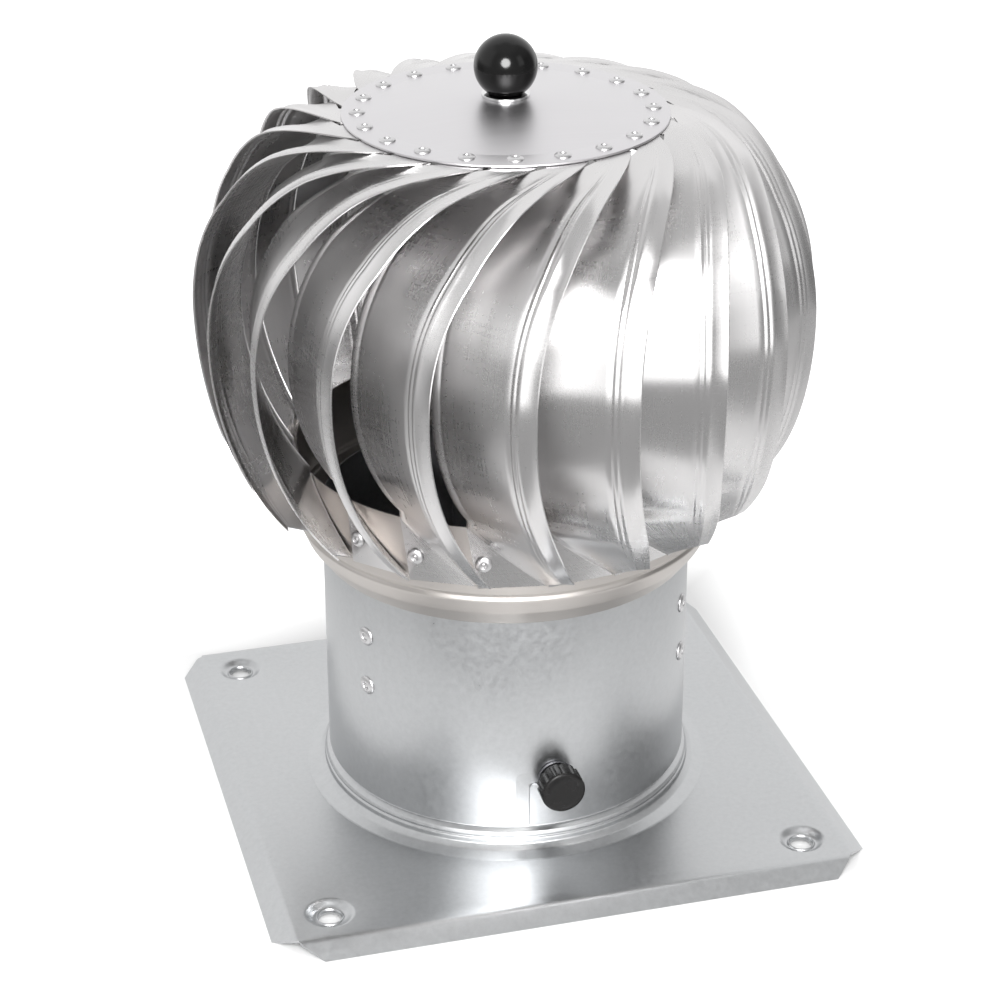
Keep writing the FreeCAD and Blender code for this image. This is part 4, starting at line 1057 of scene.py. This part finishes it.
def makeFloor():
    # a pale table top whose front edge lies just outside the view; the camera sees it glow away from the plate,
    # and everything else sees it plain and darker further out
    left, right, front, back = (studio["floorLeft"], studio["floorRight"], studio["floorFront"], studio["floorBack"])
    mesh = bpy.data.meshes.new("floor")
    mesh.from_pydata([(-left, -front, 0), (right, -front, 0), (right, back, 0), (-left, back, 0)], [], [(0, 1, 2, 3)])
    mesh.transform(Matrix.Rotation(math.radians(-camera["turn"]), 4, "Z"))
    floor = addObject("floor", mesh)
    material, graph = newFinish("paleFloor", metal=0.0)
    seen = graph.add("ShaderNodeLightPath", out=0)
    x, y = graph.parts(graph.add("ShaderNodeTexCoord", out=3))[:2]
    away = (x * x + y * y).root()
    openAir = ((x.step("ABSOLUTE").atLeast(y.step("ABSOLUTE")) - studio["glowFrom"]) / studio["glowFade"]).share()
    far = ((away - studio["nearEnd"]) / studio["farFade"]).share()
    dull = graph.blendColour(far, studio["floorNear"], studio["floorFar"])
    graph.set("Base Color", graph.blendColour(seen, dull, studio["floorSeen"]))
    graph.set("Emission Strength", seen * openAir * studio["floorGlow"])
    graph.set("Roughness", 0.9)
    graph.set("Specular IOR Level", 0.1)
    graph.set("Emission Color", (1, 1, 1, 1))
    mesh.materials.append(material)


def makeRoom():
    # the air is white where the camera looks at it; for everything else it is a grey room with a lighter ceiling,
    # a pale wall at the left, a pale back wall, a window at the right and darker parts on both sides
    world = bpy.data.worlds.new("studioRoom")
    world.use_nodes = True
    graph = Graph(world.node_tree)
    x, y, z = graph.parts(graph.add("ShaderNodeTexCoord"))
    around = math.radians(camera["turn"])
    right = x * math.cos(around) - y * math.sin(around)
    ahead = x * math.sin(around) + y * math.cos(around)
    side = right.step("ARCTAN2", -ahead) * (360 / turn)
    height = z.step("ARCSINE") * (360 / turn)
    away = side.step("ABSOLUTE")

    def between(value, low, high):
        return ((value - low) / (high - low)).share()

    def blend(amount, first, second):
        return first + (second - first) * amount

    def patch(wall, name, across, low, high):
        # a part of the room between two heights, each given as the start and end of a soft edge
        return blend(across * between(height, *low) * (1 - between(height, *high)), wall, studio[name])

    wall = blend(between(height, 50, 68), studio["wall"], studio["ceiling"])
    wall = patch(wall, "leftWall", between(-side, 50, 66), (0, 9), (52, 66))
    wall = patch(wall, "shade", between(-side, 76, 90), (-24, -16), (-4, 5))
    wall = patch(wall, "shade", between(side, 58, 76), (-20, -8), (20, 40))
    wall = patch(wall, "window", between(side, 48, 54) * (1 - between(side, 70, 76)), (8, 12), (36, 44))
    wall = blend(between(away, 116, 132) * (1 - between(height, 66, 76)), wall, studio["back"])
    wall = blend(1 - between(height, -18, -13), wall, studio["below"])
    room = graph.add("ShaderNodeBackground", {0: graph.join(wall, wall, wall), 1: 1.0})
    plain = graph.add("ShaderNodeBackground", {0: (1, 1, 1, 1), 1: studio["air"]})
    seen = graph.add("ShaderNodeLightPath", out=0)
    mixed = graph.add("ShaderNodeMixShader", {0: seen, 1: room, 2: plain})
    graph.feed(world.node_tree.nodes["World Output"].inputs[0], mixed)
    bpy.context.scene.world = world


def addLight(name, given):
    light = bpy.data.lights.new(name, "AREA")
    light.shape = given["shape"]
    light.size, light.size_y = given["size"]
    area = light.size * light.size_y * (math.pi / 4 if light.shape == "ELLIPSE" else 1)
    light.energy = given["glow"] * math.pi * area
    lamp = addObject(name, light)
    lamp.location = given["spot"]
    lamp.rotation_euler = (Vector(given["target"]) - Vector(given["spot"])).to_track_quat("-Z", "Y").to_euler()
    lamp.visible_camera = False
    return lamp


def linkLight(lamp, piece, state):
    # the lamp lights only this piece, or all but this piece
    group = bpy.data.collections.new(lamp.name + "Lights")
    group.objects.link(piece)
    group.collection_objects[0].light_linking.link_state = state
    lamp.light_linking.receiver_collection = group


def fromCamera(right, ahead, height):
    # a place given beside, beyond and above the turbine as the camera sees it, in metres
    around = math.radians(camera["turn"])
    return (right * math.cos(around) + ahead * math.sin(around),
            -right * math.sin(around) + ahead * math.cos(around), height)


# where the photograph was taken from: distance and height in millimetres, turn and tilt in degrees
camera = {"turn": 15.28, "distance": 1006.8, "height": 630.3, "tilt": 26.4, "lens": 96.74,
          "shiftX": -0.0057, "shiftY": -0.0065}


def setCamera():
    data = bpy.data.cameras.new("photoCamera")
    data.sensor_width = 36
    data.lens = camera["lens"]
    data.shift_x = camera["shiftX"]
    data.shift_y = camera["shiftY"]
    data.clip_start = 0.05
    data.clip_end = 50
    eye = addObject("photoCamera", data)
    down = math.radians(camera["tilt"])
    eye.location = fromCamera(0, -camera["distance"] * mm, camera["height"] * mm)
    ahead = Vector(fromCamera(0, math.cos(down), -math.sin(down)))
    eye.rotation_euler = ahead.to_track_quat("-Z", "Y").to_euler()
    bpy.context.scene.camera = eye


# the ball takes its own lamp, and the others leave it out
byCamera = {"shape": "ELLIPSE", "spot": fromCamera(0, -1.2, 0.92), "target": (0, 0, 0.3)}
lamps = {
    "frontSoftbox": {"shape": "RECTANGLE", "spot": fromCamera(0.10, -1.35, 0.90), "target": fromCamera(0.10, 0, 0.90),
                     "size": (1.9, 2.08), "glow": 1.8, "ball": "EXCLUDE"},
    "cameraSoftbox": {**byCamera, "size": (0.82, 0.82), "glow": 11, "ball": "EXCLUDE"},
    "ballSoftbox": {**byCamera, "size": (0.76, 0.76), "glow": 26, "ball": "INCLUDE"},
}

makeFloor()
makeRoom()
for name, given in lamps.items():
    linkLight(addLight(name, given), ballKnob, given["ball"])
setCamera()
bpy.context.scene.view_settings.view_transform = "Standard"
